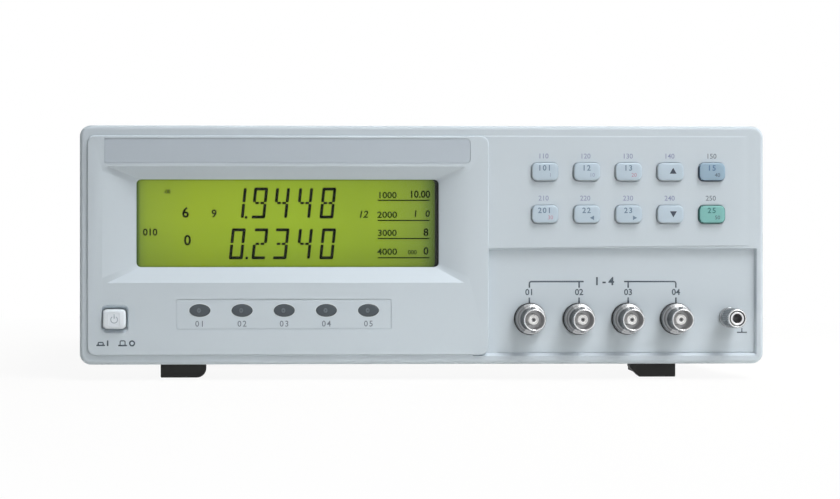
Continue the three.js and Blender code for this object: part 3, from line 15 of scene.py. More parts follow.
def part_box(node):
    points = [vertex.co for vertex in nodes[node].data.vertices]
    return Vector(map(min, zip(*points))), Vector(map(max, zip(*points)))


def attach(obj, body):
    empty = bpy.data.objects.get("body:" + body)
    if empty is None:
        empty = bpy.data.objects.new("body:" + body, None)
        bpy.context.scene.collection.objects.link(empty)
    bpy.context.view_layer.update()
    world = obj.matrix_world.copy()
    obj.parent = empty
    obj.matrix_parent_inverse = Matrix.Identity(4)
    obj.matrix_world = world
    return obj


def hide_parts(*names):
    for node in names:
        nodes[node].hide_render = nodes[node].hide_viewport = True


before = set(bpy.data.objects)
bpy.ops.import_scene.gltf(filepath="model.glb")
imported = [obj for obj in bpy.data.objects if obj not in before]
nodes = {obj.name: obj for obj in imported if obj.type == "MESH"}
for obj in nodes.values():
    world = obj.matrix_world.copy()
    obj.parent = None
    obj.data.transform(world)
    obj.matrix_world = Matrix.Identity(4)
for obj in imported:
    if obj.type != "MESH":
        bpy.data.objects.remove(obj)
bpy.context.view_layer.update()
ops = bpy.ops
scene = bpy.context.scene
scene.view_settings.view_transform = "Standard"
MM = 0.001
UPRIGHT = (math.pi / 2, 0, 0)

# %% [markdown]
# The photograph was taken with the lens level with the middle of the case and well to the left of it, about
# 0.85 m from the front. The camera stands there. It is turned a little towards the meter, and its frame is
# shifted sideways for the rest, so that the long front stays almost free of perspective.

# %% Camera
camera_data = bpy.data.cameras.new("camera")
camera_data.lens = 75
camera_data.sensor_width = 36
camera_data.clip_start = 0.02
camera_data.shift_x = 0.1732
camera_data.shift_y = -0.0099
camera = bpy.data.objects.new("camera", camera_data)
scene.collection.objects.link(camera)
camera.location = (-0.0863, -0.921, 0.062)
turn_in = math.radians(1.5)
camera.rotation_euler = (math.radians(90), 0, -turn_in)
scene.camera = camera
print("camera", tuple(camera.location), "lens", camera_data.lens)

# %% [markdown]
# A product photograph like this is lit by soft boxes over white paper. Area lamps stand for the boxes. The
# main one is high on the right, and its beam is narrowed as by a grid, so that its light falls off over the
# front. A small low one helps it from the same side, and a third one reaches the rear.

# %% Lamps


def soft_box(name, place, aim, side, power, spread=180):
    data = bpy.data.lights.new(name, "AREA")
    data.shape = "RECTANGLE"
    data.size = side
    data.size_y = side
    data.energy = power
    data.spread = math.radians(spread)
    lamp = bpy.data.objects.new(name, data)
    lamp.location = place
    lamp.rotation_euler = (Vector(aim) - Vector(place)).to_track_quat("-Z", "Y").to_euler()
    scene.collection.objects.link(lamp)


soft_box("overhead_box", (0.56, -0.46, 0.89), (0.25, -0.14, 0.06), 0.9, 2.15, spread=43)
soft_box("right_box", (0.36, -0.66, 0.3), (0.0, -0.14, 0.06), 0.3, 0.5)
soft_box("rear_box", (0.3, 1.2, 0.9), (0.0, 0.1, 0.05), 0.8, 5.0)

# %% [markdown]
# The world and the materials are made of shader nodes. By hand, each one is added, set to its mode, given
# its numbers and linked to the ones before it. The helper does all of that at once, so that a node takes one
# line and a tree reads from its start to its end.

# %% Helpers for shader nodes


def new_node(tree, kind, values=(), links=(), **modes):
    """Adds a node, sets its modes, fills in its inputs and links other nodes' outputs to them."""
    node = tree.nodes.new("ShaderNode" + kind)
    for mode, value in modes.items():
        setattr(node, mode, value)
    for socket, value in dict(values).items():
        node.inputs[socket].default_value = value
    for socket, source in dict(links).items():
        tree.links.new(source, node.inputs[socket])
    return node


def new_material(name):
    """A new material with its tree and its main shader."""
    material = bpy.data.materials.new(name)
    material.use_nodes = True
    tree = material.node_tree
    return material, tree, tree.nodes["Principled BSDF"]


def show(tree, node, output="Material Output"):
    tree.links.new(node.outputs[0], tree.nodes[output].inputs["Surface"])


print("shader helpers", new_node.__name__, new_material.__name__, show.__name__)

# %% [markdown]
# White paper is all round the meter. The camera, mirrors and clear glass see it as plain white, which the
# Light Path node picks out. For every other ray the world is a pale light that grows softly towards the
# upper right, where the main box hangs, so that the sides that face left fall into a mild shade.

# %% The world's light


def white_to_lens(tree, lit_shader, share=None):
    """Mixes in plain white for what the camera, a mirror and clear glass see."""
    rays = new_node(tree, "LightPath").outputs
    seen = rays["Is Camera Ray"]
    for kind in ("Is Glossy Ray", "Is Transmission Ray"):
        seen = new_node(tree, "Math", links={0: seen, 1: rays[kind]}, operation="MAXIMUM").outputs[0]
    if share:
        seen = new_node(tree, "Math", links={0: seen, 1: share}, operation="MULTIPLY").outputs[0]
    white = new_node(tree, "Emission" if share else "Background", {"Color": (1, 1, 1, 1), "Strength": 1.0})
    return new_node(tree, "MixShader", links={0: seen, 1: lit_shader.outputs[0], 2: white.outputs[0]})


DIM_SIDE, BRIGHT_SIDE = 0.08, 0.8
world = bpy.data.worlds.new("white_paper")
scene.world = world
world.use_nodes = True
sky_tree = world.node_tree
sky = sky_tree.nodes["Background"]
sky.inputs["Color"].default_value = (0.97, 0.99, 1.0, 1)
direction = new_node(sky_tree, "TexCoord").outputs["Generated"]
towards_lamp = new_node(sky_tree, "VectorMath", {1: (0.7, -0.1, 0.71)}, {0: direction},
                        operation="DOT_PRODUCT").outputs["Value"]
growth = new_node(sky_tree, "MapRange", {"From Min": 0.0, "To Min": DIM_SIDE, "To Max": BRIGHT_SIDE},
                  {"Value": towards_lamp})
sky_tree.links.new(growth.outputs["Result"], sky.inputs["Strength"])
show(sky_tree, white_to_lens(sky_tree, sky), "World Output")
print("world light from", DIM_SIDE, "to", BRIGHT_SIDE)

# %% [markdown]
# The floor is paper too. It takes the meter's shadow, so near the meter it is lit like any surface, and
# further out it fades into plain white. The fade follows the distance from the floor's middle.

# %% Floor


def primitive(add, name, **shape):
    """Adds one of Blender's basic shapes with nothing else selected, and names it."""
    ops.object.select_all(action="DESELECT")
    add(**shape)
    piece = bpy.context.object
    piece.name = name
    return piece


floor = primitive(ops.mesh.primitive_plane_add, "floor", size=6, location=(0, 0, -0.0002))
floor_paper, paper_tree, paper_shader = new_material("floor_paper")
paper_shader.inputs["Base Color"].default_value = (0.77, 0.75, 0.71, 1)
paper_shader.inputs["Roughness"].default_value = 0.9
floor_place = new_node(paper_tree, "TexCoord").outputs["Object"]
from_middle = new_node(paper_tree, "VectorMath", links={0: floor_place}, operation="LENGTH").outputs["Value"]
fade = new_node(paper_tree, "MapRange", {"From Min": 0.25, "From Max": 0.6, "To Min": 0.92, "To Max": 1.0},
                {"Value": from_middle})
show(paper_tree, white_to_lens(paper_tree, paper_shader, fade.outputs["Result"]))
floor.data.materials.append(floor_paper)
print("floor", tuple(round(v, 2) for v in floor.dimensions))

# %% [markdown]
# Most finishes here are moulded plastic, paint and metal. They share one recipe: a base colour that drifts
# a little over the piece, a fine grain in the bump, and a roughness that is never quite even. Noise on
# Object coordinates stays fixed to the piece when it moves. A bevel in the normal rounds the edges that the
# mesh leaves sharp, as a mould or a file does, and worn metal shines on its corners.

# %% A recipe for solid finishes


def shade(colour, factor, lift=0.0):
    return (*[min(1, c * factor + lift) for c in colour], 1)


def finish(name, colour, roughness, metal=0.0, drift=0.03, drift_size=40, grain=0.02, grain_size=2500,
           wear=0.0, edge=0.0002, coat=0.0, smudge=0.05, specular=0.5, glow=0.0):
    material, tree, shader = new_material(name)
    place = new_node(tree, "TexCoord").outputs["Object"]
    broad = new_node(tree, "TexNoise", {"Scale": drift_size, "Detail": 4}, {"Vector": place}).outputs["Fac"]
    surface = new_node(tree, "Mix", {"A": shade(colour, 1 - drift), "B": shade(colour, 1 + drift)},
                       {"Factor": broad}, data_type="RGBA").outputs["Result"]
    if wear > 0:
        sharpness = new_node(tree, "NewGeometry").outputs["Pointiness"]
        rim = new_node(tree, "MapRange", {"From Min": 0.52, "From Max": 0.6}, {"Value": sharpness})
        amount = new_node(tree, "Math", {1: wear}, {0: rim.outputs["Result"]}, operation="MULTIPLY")
        surface = new_node(tree, "Mix", {"B": shade(colour, 1.6, 0.05)},
                           {"Factor": amount.outputs[0], "A": surface}, data_type="RGBA").outputs["Result"]
    tree.links.new(surface, shader.inputs["Base Color"])

    fine = new_node(tree, "TexNoise", {"Scale": grain_size, "Detail": 2}, {"Vector": place}).outputs["Fac"]
    rounded = new_node(tree, "Bevel", {"Radius": edge}, samples=6).outputs["Normal"]
    bump = new_node(tree, "Bump", {"Strength": grain, "Distance": 0.0002},
                    {"Height": fine, "Normal": rounded})
    tree.links.new(bump.outputs["Normal"], shader.inputs["Normal"])

    evenness = {"To Min": max(0.02, roughness - smudge), "To Max": min(1, roughness + smudge)}
    gloss = new_node(tree, "MapRange", evenness, {"Value": broad})
    tree.links.new(gloss.outputs["Result"], shader.inputs["Roughness"])
    shader.inputs["Metallic"].default_value = metal
    shader.inputs["Specular IOR Level"].default_value = specular
    if coat > 0:
        shader.inputs["Coat Weight"].default_value = coat
        shader.inputs["Coat Roughness"].default_value = 0.15
    # Painted light: an emission that makes a piece glow though it is no lamp.
    if glow > 0:
        shader.inputs["Emission Color"].default_value = (1, 1, 1, 1)
        shader.inputs["Emission Strength"].default_value = glow
    return material


def srgb(red, green, blue):
    """The linear colour of an 8-bit screen colour."""
    shares = [value / 255 for value in (red, green, blue)]
    return tuple(s / 12.92 if s <= 0.04045 else ((s + 0.055) / 1.055) ** 2.4 for s in shares)


print("middle grey is", round(srgb(128, 128, 128)[0], 3))

# %% [markdown]
# The plastics are close in colour and differ in how fine their grain is. The sides of the keys that face
# left and down get darker copies of the key colours, which is painted shade. The white insulators get a
# faint glow, painted light that lifts them out of the shade of their bores, in place of the light that this
# plastic scatters inside itself.

# %% Finishes: plastic, rubber and film
pale_plastic = finish("pale_plastic", srgb(195, 205, 213), 0.55, drift=0.012, drift_size=25, grain=0.12,
                      specular=0.2)
black_plastic = finish("black_plastic", srgb(38, 39, 41), 0.55, grain=0.15)
black_rubber = finish("black_rubber", srgb(53, 53, 52), 0.75, drift=0.12, grain=0.25, grain_size=1800)
# Painted light: a faint glow lifts this white out of the shade of the bores.
white_insulator = finish("white_insulator", srgb(252, 252, 251), 0.45, glow=0.13)
white_cap = finish("white_cap", srgb(222, 229, 236), 0.35, drift=0.01, grain=0.05, edge=0.0001)
key_grey = finish("key_grey", srgb(179, 195, 208), 0.45, drift=0.015, grain=0.1, edge=0.0001)
key_blue = finish("key_blue", srgb(143, 168, 187), 0.45, drift=0.02, grain=0.1, edge=0.0001)
key_green = finish("key_green", srgb(120, 177, 174), 0.45, drift=0.02, grain=0.1, edge=0.0001)
# Painted shade: darker copies of the key colours for the sides of the caps that face left and down.
side_grey = finish("side_grey", srgb(174, 184, 192), 0.5, grain=0.1, edge=0.00005)
side_blue = finish("side_blue", srgb(44, 66, 88), 0.5, grain=0.1, edge=0.00005)
side_green = finish("side_green", srgb(40, 98, 96), 0.5, grain=0.1, edge=0.00005)
film = finish("film", srgb(178, 188, 198), 0.42, drift=0.01, grain=0.04, edge=0.00005)
smoked = finish("smoked_lens", srgb(54, 64, 72), 0.3, drift=0.12, drift_size=200, coat=0.4)
grey_cable = finish("grey_cable", srgb(138, 142, 146), 0.55, grain=0.1)
print("plastics made;", len(bpy.data.materials), "materials so far")

# %% Finishes: metal, paint and boards
nickel = finish("nickel", (0.42, 0.43, 0.44), 0.2, metal=1.0, drift=0.02, drift_size=150, grain=0.0,
                smudge=0.03)
# Lighter and darker copies of the nickel: a painted highlight and painted shade, for chosen faces.
bright_nickel = finish("bright_nickel", (0.8, 0.81, 0.82), 0.22, metal=1.0, drift=0.02, drift_size=150,
                       grain=0.0)
dull_nickel = finish("dull_nickel", (0.22, 0.23, 0.24), 0.3, metal=1.0, drift=0.04, drift_size=200, grain=0.0)
dark_bore = finish("dark_bore", (0.5, 0.5, 0.51), 0.42, metal=1.0, drift=0.2, drift_size=300)
brass = finish("brass", (0.62, 0.46, 0.22), 0.3, metal=1.0, drift=0.06, drift_size=300)
zinc_sheet = finish("zinc_sheet", (0.56, 0.57, 0.58), 0.42, metal=0.9, drift=0.1, drift_size=60, grain=0.06)
screw_zinc = finish("screw_zinc", (0.5, 0.51, 0.52), 0.32, metal=1.0, drift=0.08, drift_size=500, wear=0.3)
tin_plate = finish("tin_plate", (0.55, 0.56, 0.56), 0.3, metal=1.0, drift=0.06, drift_size=200, grain=0.03)
core_steel = finish("core_steel", srgb(74, 76, 80), 0.5, metal=0.7, drift=0.2, drift_size=200)
copper_wire = finish("copper_wire", srgb(172, 96, 46), 0.35, metal=0.5, drift=0.1, drift_size=300)
grey_paint = finish("grey_paint", srgb(176, 184, 188), 0.62, drift=0.02, grain=0.5, grain_size=1400)
board_green = finish("board_green", srgb(34, 92, 58), 0.4, drift=0.15, drift_size=160, coat=0.3)
print("metals and paint made;", len(bpy.data.materials), "materials so far")

# %% [markdown]
# Ink is a layer of a few hundredths of a millimetre, too thin for a grain or a rounded edge of its own. What
# shows is that it doesn't cover quite evenly, so its colour drifts more than that of the plastic.

# %% Finishes: printing inks
THIN_INK = {"roughness": 0.5, "drift": 0.1, "grain": 0.0, "edge": 0.00002}


def ink_finish(name, *screen_colour, **changes):
    return finish(name, srgb(*screen_colour), **{**THIN_INK, **changes})


grey_print = ink_finish("grey_print", 112, 120, 132)
dark_print = ink_finish("dark_print", 52, 60, 76)
slate_print = ink_finish("slate_print", 68, 80, 92)
violet_print = ink_finish("violet_print", 138, 146, 176)
legend_print = ink_finish("legend_print", 104, 124, 146)
blue_print = ink_finish("blue_print", 84, 116, 148)
teal_print = ink_finish("teal_print", 52, 112, 110)
red_print = ink_finish("red_print", 178, 128, 148)
faint_print = ink_finish("faint_print", 150, 162, 174)
pale_print = ink_finish("pale_print", 204, 214, 220, drift=0.03)
painted_glint_ink = ink_finish("lens_glint", 88, 98, 106, roughness=0.3, drift=0.3, drift_size=900)
segment_ink = ink_finish("dark_segments", 10, 18, 4, roughness=0.6, drift=0.25, drift_size=120, specular=0.1)
faint_ink = ink_finish("faint_segments", 44, 62, 14, roughness=0.6, drift=0.2, specular=0.1)
print("inks made;", len(bpy.data.materials), "materials in all")

# %% [markdown]
# The CAD nodes come without materials. Those that show, through an opening or from behind, keep their mesh
# and get a finish here. The others are replaced further on, and are dressed too in case one shows.

# %% Give the CAD nodes their finishes


def dress(look, *names):
    for name in names:
        slots = nodes[name].data.materials
        slots.clear()
        slots.append(look)


def four(stem):
    return [f"{stem}_{n}" for n in range(1, 5)]


key_names = [f"key_{row}_{n}" for row in ("top", "bottom") for n in range(1, 6)]
dress(pale_plastic, "front_fascia", "power_button", *key_names)
dress(black_plastic, "power_switch", "power_inlet", "fuse_drawer", *four("bnc_bushing"))
dress(black_rubber, *[n for n in nodes if n.startswith(("foot_", "tilt_leg_"))])
dress(nickel, "ground_post_stud", "ground_post_washer", "ground_post_knob", *four("bnc_shell"))
dress(brass, "ground_post_nut", *four("bnc_nut"))
dress(white_insulator, "mains_fuse", *four("bnc_insulator"))
dress(zinc_sheet, "front_subpanel", "chassis_tray", "serial_socket", "handler_socket")
dress(grey_paint, "top_cover", "rear_panel")
dress(board_green, "display_board", "keypad_board", "main_board", "power_board")
dress(core_steel, "transformer_core")
dress(copper_wire, "transformer_winding")
dress(grey_cable, "front_ribbon", "input_leads", "mains_lead")
print("dressed", sum(1 for name in nodes if len(nodes[name].data.materials)), "CAD nodes")

# %% [markdown]
# Every new piece starts as a simple primitive and is shaped in edit mode, as by hand. The helpers keep that
# short. Sizes are given in millimetres, with depths counted from the face of the display field as on a
# drawing. The first helpers open edit mode with only those corners, edges or faces selected that pass a test
# on their place, which is what a click or a box does in the window.

# %% Helpers for places and for edit mode
FACE_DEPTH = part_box("front_fascia")[0][1]


def at(x, depth, z):
    """A place in the frame from millimetres across, behind the display field and above the bench."""
    return Vector((x * MM, FACE_DEPTH + depth * MM, z * MM))


def only(piece):
    ops.object.select_all(action="DESELECT")
    piece.select_set(True)
    bpy.context.view_layer.objects.active = piece


def settle(piece):
    """Moves a piece's place, turn and size into its mesh."""
    only(piece)
    ops.object.transform_apply(location=True, rotation=True, scale=True)
    return piece


def choose(piece, kind, test):
    """Opens edit mode with only the corners, edges or faces that pass a test selected."""
    only(piece)
    ops.object.mode_set(mode="EDIT")
    ops.mesh.select_mode(type=kind)
    ops.mesh.select_all(action="DESELECT")
    sheet = bmesh.from_edit_mesh(piece.data)
    for part in {"VERT": sheet.verts, "EDGE": sheet.edges, "FACE": sheet.faces}[kind]:
        if test(part):
            part.select_set(True)
    sheet.select_flush_mode()
    bmesh.update_edit_mesh(piece.data)


def done(piece):
    ops.object.mode_set(mode="OBJECT")
    return piece


def any_part(part):
    return True


def depth_of(corner):
    return (corner.co.y - FACE_DEPTH) / MM


def middle_depth(part):
    return sum(depth_of(v) for v in part.verts) / len(part.verts)


def at_depth(depth, near=0.001):
    """A test for the edges or faces that lie wholly at one depth."""
    return lambda part: all(abs(depth_of(v) - depth) < near for v in part.verts)


print("front of the display field at", round(FACE_DEPTH, 5))

# %% [markdown]
# Pieces are joined, cut and smoothed in the same few ways. A boolean takes its cutters away once they have
# done their work. Smoothing keeps flat faces flat, and a weighted normal lets the large faces decide how the
# light runs over a small bevel.

# %% Helpers for joining and finishing


def modify(piece, kind, **settings):
    only(piece)
    step = piece.modifiers.new(kind.lower(), kind)
    for key, value in settings.items():
        setattr(step, key, value)
    ops.object.modifier_apply(modifier=step.name)
    return piece


def combine(piece, how, *tools):
    for tool in tools:
        modify(piece, "BOOLEAN", operation=how, object=tool, solver="EXACT")
        bpy.data.objects.remove(tool)
    return piece


def joined(name, *pieces):
    ops.object.select_all(action="DESELECT")
    for piece in pieces:
        piece.select_set(True)
    first = pieces[0]
    bpy.context.view_layer.objects.active = first
    if len(pieces) > 1:
        ops.object.join()
    first.name = name
    return first


def smooth(piece, angle=35):
    """Smooths round forms and keeps flat faces flat, with normals weighted by the size of each face."""
    only(piece)
    ops.object.shade_smooth_by_angle(angle=math.radians(angle))
    return modify(piece, "WEIGHTED_NORMAL", weight=100, keep_sharp=True)


def point_outwards(piece):
    choose(piece, "FACE", any_part)
    ops.mesh.remove_doubles(threshold=0.000002)
    ops.mesh.normals_make_consistent(inside=False)
    return done(piece)


def bevel_rim(piece, depth, size, steps, near=0.001):
    """Rounds the edges that run round a face at one depth."""
    choose(piece, "EDGE", at_depth(depth, near))
    ops.mesh.bevel(offset=size * MM, segments=steps)
    return done(piece)


def paint_faces(piece, look, test):
    """Gives a further finish to the faces that pass a test."""
    piece.data.materials.append(look)
    choose(piece, "FACE", test)
    piece.active_material_index = len(piece.data.materials) - 1
    ops.object.material_slot_assign()
    return done(piece)


def place_on(piece, body, look=None, slot=None, instead_of=()):
    """Gives a finished piece its material, its body and the CAD nodes that it stands for. The slot is not
    used.
    """
    if look:
        piece.data.materials.clear()
        piece.data.materials.append(look)
    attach(piece, body)
    if instead_of:
        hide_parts(*instead_of)
    return piece


print("joining helpers", combine.__name__, joined.__name__, place_on.__name__)

# %% [markdown]
# The commonest start is a slab: a plane that faces the viewer gets its corners rounded and is then pulled
# back to its thickness. Its end can be extruded again and fitted to another rectangle, which gives tapers
# and soft edges. Rectangles are written as left, right, bottom and top.

# %% Helpers for slabs


def pull(by):
    ops.mesh.extrude_region_move(TRANSFORM_OT_translate={"value": (0, by * MM, 0)})


def slab(name, rect, front, back, radius=0, steps=6, rounded=any_part):
    """A slab seen from the front: a plane with its corners bevelled, pulled back to its thickness."""
    left, right, bottom, top = rect
    piece = primitive(ops.mesh.primitive_plane_add, name, size=MM, rotation=UPRIGHT,
                      location=at((left + right) / 2, front, (bottom + top) / 2))
    piece.scale = (right - left, top - bottom, 1)
    settle(piece)
    if radius:
        choose(piece, "VERT", rounded)
        ops.mesh.bevel(offset=radius * MM, segments=steps, affect="VERTICES")
        done(piece)
    choose(piece, "FACE", any_part)
    pull(back - front)
    done(piece)
    return point_outwards(piece)


def reshape_end(piece, depth, rect_from, rect_to):
    """Fits the face at one depth of a slab to another rectangle."""
    left, right, bottom, top = rect_from
    new_left, new_right, new_bottom, new_top = rect_to
    choose(piece, "FACE", at_depth(depth))
    stretch = ((new_right - new_left) / (right - left), 1, (new_top - new_bottom) / (top - bottom))
    ops.transform.resize(value=stretch, center_override=at((left + right) / 2, depth, (bottom + top) / 2))
    move_x = (new_left + new_right - left - right) / 2 * MM
    move_z = (new_bottom + new_top - bottom - top) / 2 * MM
    ops.transform.translate(value=(move_x, 0, move_z))
    return done(piece)


def push_end(piece, depth, by, rect_from=None, rect_to=None):
    """Extrudes the face at one depth, and fits the new end to another rectangle."""
    choose(piece, "FACE", at_depth(depth))
    pull(by)
    done(piece)
    if rect_to:
        reshape_end(piece, depth + by, rect_from, rect_to)
    return piece


def build_out(piece, depth, rect, rings):
    """Extrudes the end of a slab through further rings, each a depth and a rectangle."""
    for next_depth, next_rect in rings:
        push_end(piece, depth, next_depth - depth, rect, next_rect)
        depth = next_depth
        rect = next_rect
    return piece


def around(x, z, width, height):
    return (x - width / 2, x + width / 2, z - height / 2, z + height / 2)


def inset(rect, by):
    return (rect[0] + by, rect[1] - by, rect[2] + by, rect[3] - by)


print("a 10 mm square, inset by 1:", inset(around(0, 0, 10, 10), 1))

# %% [markdown]
# Round pieces are cylinders, or half outlines that are spun round a line from front to rear, as on a lathe.
# A piece that is needed more than once is modelled round the frame's middle and copied to its places.

# %% Helpers for round pieces and copies


def rod(name, place, diameter, length, turn, sides):
    """A round bar, added upright and then turned."""
    return settle(primitive(ops.mesh.primitive_cylinder_add, name, vertices=sides, radius=diameter / 2 * MM,
                            depth=length * MM, location=place, rotation=turn))


def disc(name, x, z, diameter, front, back, sides=48):
    return rod(name, at(x, (front + back) / 2, z), diameter, back - front, UPRIGHT, sides)


def turned(name, x, z, profile, steps=48):
    """A turned piece on a line from front to rear: its half outline, as radius and depth, is spun round."""
    mesh = bpy.data.meshes.new(name)
    points = [at(x + radius, depth, z) for radius, depth in profile]
    mesh.from_pydata(points, [(i, i + 1) for i in range(len(points) - 1)], [])
    piece = bpy.data.objects.new(name, mesh)
    scene.collection.objects.link(piece)
    choose(piece, "EDGE", any_part)
    ops.mesh.spin(steps=steps, angle=math.tau, center=at(x, 0, z), axis=(0, 1, 0))
    done(piece)
    return point_outwards(piece)


def copy_of(piece, name, dx=0, dz=0):
    twin = piece.copy()
    twin.data = piece.data.copy()
    twin.name = name
    scene.collection.objects.link(twin)
    twin.data.transform(Matrix.Translation((dx * MM, 0, dz * MM)))
    return twin


def as_oval(piece, width, height, x, z):
    """Stretches a round piece of 1 mm from the frame's middle to an oval at its place."""
    piece.data.transform(Matrix.Translation((0, -FACE_DEPTH, 0)))
    piece.data.transform(Matrix.Diagonal((width, 1, height, 1)))
    piece.data.transform(Matrix.Translation(at(x, 0, z)))
    return piece


print("round helpers", disc.__name__, turned.__name__, as_oval.__name__)

# %% [markdown]
# The front is one moulding with four levels: the display field stands out furthest, the keypad field a
# little less, then the rim, and the terminal field lies deepest. Each level is a slab whose edges are tapered
# by extruding its face and scaling the new face, and the slabs are then joined with booleans.

# %% Fascia: the levels
KEYPAD_FACE = 0.8
RIM_FACE = 1.15
LOW_FACE = 2.9
BEFORE_ALL = -3
outline = (-152.8, 154.7, 6.8, 113.8)
display_field = (-149.4, 30.3, 11.0, 109.2)
keypad_field = (23.1, 151.0, 57.9, 110.3)
low_field = (23.1, 151.5, 10.5, 58.8)
low_floor = (23.1, 150.8, 11.6, 58.8)

fascia = slab("fascia_moulding", outline, RIM_FACE, 24.9, radius=5, steps=8)
bevel_rim(fascia, RIM_FACE, 1.9, 6)
terminal_dip = slab("terminal_dip", low_field, BEFORE_ALL, RIM_FACE, radius=0.6, steps=3)
push_end(terminal_dip, RIM_FACE, LOW_FACE - RIM_FACE, low_field, low_floor)
groove = slab("groove", (34.0, 150.8, 11.6, 12.0), 2.0, 3.15)
combine(fascia, "DIFFERENCE", terminal_dip, groove)

raised = slab("raised_field", display_field, 1.0, 3.9, radius=3.6, steps=8)
soft_edge = [(depth, inset(display_field, by)) for depth, by in ((0.45, 0.12), (0.12, 0.38), (0.0, 0.75))]
build_out(raised, 1.0, display_field, soft_edge)

keys_slab = slab("keypad_slab", keypad_field, LOW_FACE, 3.9, radius=0.6, steps=3)
choose(keys_slab, "VERT", lambda corner: corner.co.z < 70 * MM and corner.co.x > 100 * MM)
ops.transform.translate(value=(0, 0, 1.5 * MM))
done(keys_slab)
build_out(keys_slab, LOW_FACE, keypad_field, [
    (1.7, (23.1, 151.0, 58.35, 110.3)), (1.2, (23.1, 148.8, 58.6, 109.6)),
    (0.9, (23.1, 146.2, 58.75, 109.0)), (KEYPAD_FACE, (23.1, 143.5, 58.85, 108.6)),
])
combine(fascia, "UNION", keys_slab, raised)
print("fascia levels", len(fascia.data.polygons), "faces")

# %% [markdown]
# The hollow behind the face is cut next. The display has a sloped surround, like a shallow funnel, in a
# housing that stands out at the back. Shallow beds take the title strip and the indicator strip.

# %% Fascia: hollow, surround and beds
window = around(-59.63, 70.05, 136.3, 39.5)
surround = (-142.6, 21.4, 43.35, 95.4)
title_bed = (-141.8, 22.0, 96.8, 107.9)
strip_bed = (-109.56, -13.6, 22.7, 36.1)

combine(fascia, "DIFFERENCE",
        slab("hollow", (-150.9, 150.9, 9.4, 111.7), 5.5, 30, radius=2.4, steps=4),
        slab("display_hollow", (-147.6, 27.7, 13.6, 107.4), 2.6, 8.5),
        slab("keys_hollow", (30.9, 147.2, 62.0, 107.0), 3.4, 8.5))
housing = slab("display_housing", surround, 1.3, 7.5, radius=2, steps=4)
reshape_end(housing, 7.5, surround, inset(window, -2.6))
combine(fascia, "UNION", housing)

slope = slab("display_slope", surround, BEFORE_ALL, 0, radius=2.6)
push_end(slope, 0, 5.5, surround, window)
push_end(slope, 5.5, 5.0)
combine(fascia, "DIFFERENCE", slope)


def on_right(corner):
    return corner.co.x > 0


title_cut = slab("title_cut", title_bed, BEFORE_ALL, 0.35, radius=2.0, rounded=on_right)
strip_cut = slab("strip_cut", strip_bed, BEFORE_ALL, 0.3, radius=0.6, steps=3)
combine(fascia, "DIFFERENCE", joined("beds", title_cut, strip_cut))
print("fascia with its hollow and beds", len(fascia.data.polygons), "faces")

# %% [markdown]
# Then come the holes for the lamps, the keys, the terminals and the ground post, and the stepped well of the
# power button. Holes that don't touch each other are joined and cut at once, which is quicker than one by
# one.

# %% Fascia: holes
lamp_places = [(-61.49 + 18.85 * (n - 2), 31.05) for n in range(5)]
key_places = {f"key_{row}_{n + 1}": (93.17 + 18.85 * (n - 2), z)
              for row, z in (("top", 93.37), ("bottom", 74.32)) for n in range(5)}
terminal_places = [(82.09 + 22 * (n - 1.5), 27.1) for n in range(4)]
power_place = (-137.2, 27.3)
ground_place = (139.19, 27.7)

cuts = [as_oval(disc("lamp_cut", 0, 0, 1, BEFORE_ALL, 6, sides=40), 9.6, 5.9, x, z) for x, z in lamp_places]
cuts += [slab("key_cut", (x - 6.15, x + 6.15, z - 4.55, z + 4.0), BEFORE_ALL, 4, radius=2.6)
         for x, z in key_places.values()]
cuts += [disc("terminal_cut", x, z, 12.2, BEFORE_ALL, 8.5) for x, z in terminal_places]
cuts.append(disc("ground_cut", *ground_place, 5.5, BEFORE_ALL, 8.5, sides=32))
combine(fascia, "DIFFERENCE", joined("holes", *cuts))

well_mouth = around(power_place[0] + 0.3, power_place[1], 12.0, 12.6)
button_hole = around(*power_place, 10.9, 9.4)
well = slab("power_well", well_mouth, BEFORE_ALL, 0, radius=2.4)
push_end(well, 0, 2.1, well_mouth, button_hole)
push_end(well, 2.1, 4.4)
combine(fascia, "DIFFERENCE", well)
smooth(fascia, 28)
place_on(fascia, "case", pale_plastic, "fascia", ["front_fascia"])
print("fascia", len(fascia.data.polygons), "faces, box", [round(v / MM, 1) for v in fascia.dimensions])

# %% [markdown]
# The readout is a liquid crystal glass, lit from behind through a yellow-green film, so it glows by itself.
# The emission is brightest in the middle and falls off a little towards the ends and edges. In the material
# the emission colour follows a ramp along the glass and one up it. Their darkest stops, at the rim, are
# painted shade where the walls of the opening shade the glass, widest on the right.

# %% Display: lit glass


def strip_ramp(tree, value, low, high, stops):
    """A colour ramp between two places along one axis."""
    share = new_node(tree, "MapRange", {"From Min": low, "From Max": high}, {"Value": value})
    ramp = new_node(tree, "ValToRGB", links={"Fac": share.outputs["Result"]})
    elements = ramp.color_ramp.elements
    while len(elements) < len(stops):
        elements.new(0.5)
    for element, (place, colour) in zip(elements, stops):
        element.position = place
        element.color = (*colour, 1)
    return ramp.outputs["Color"]


def multiply(tree, first, second):
    return new_node(tree, "Mix", {"Factor": 1}, {"A": first, "B": second}, data_type="RGBA",
                    blend_type="MULTIPLY").outputs["Result"]


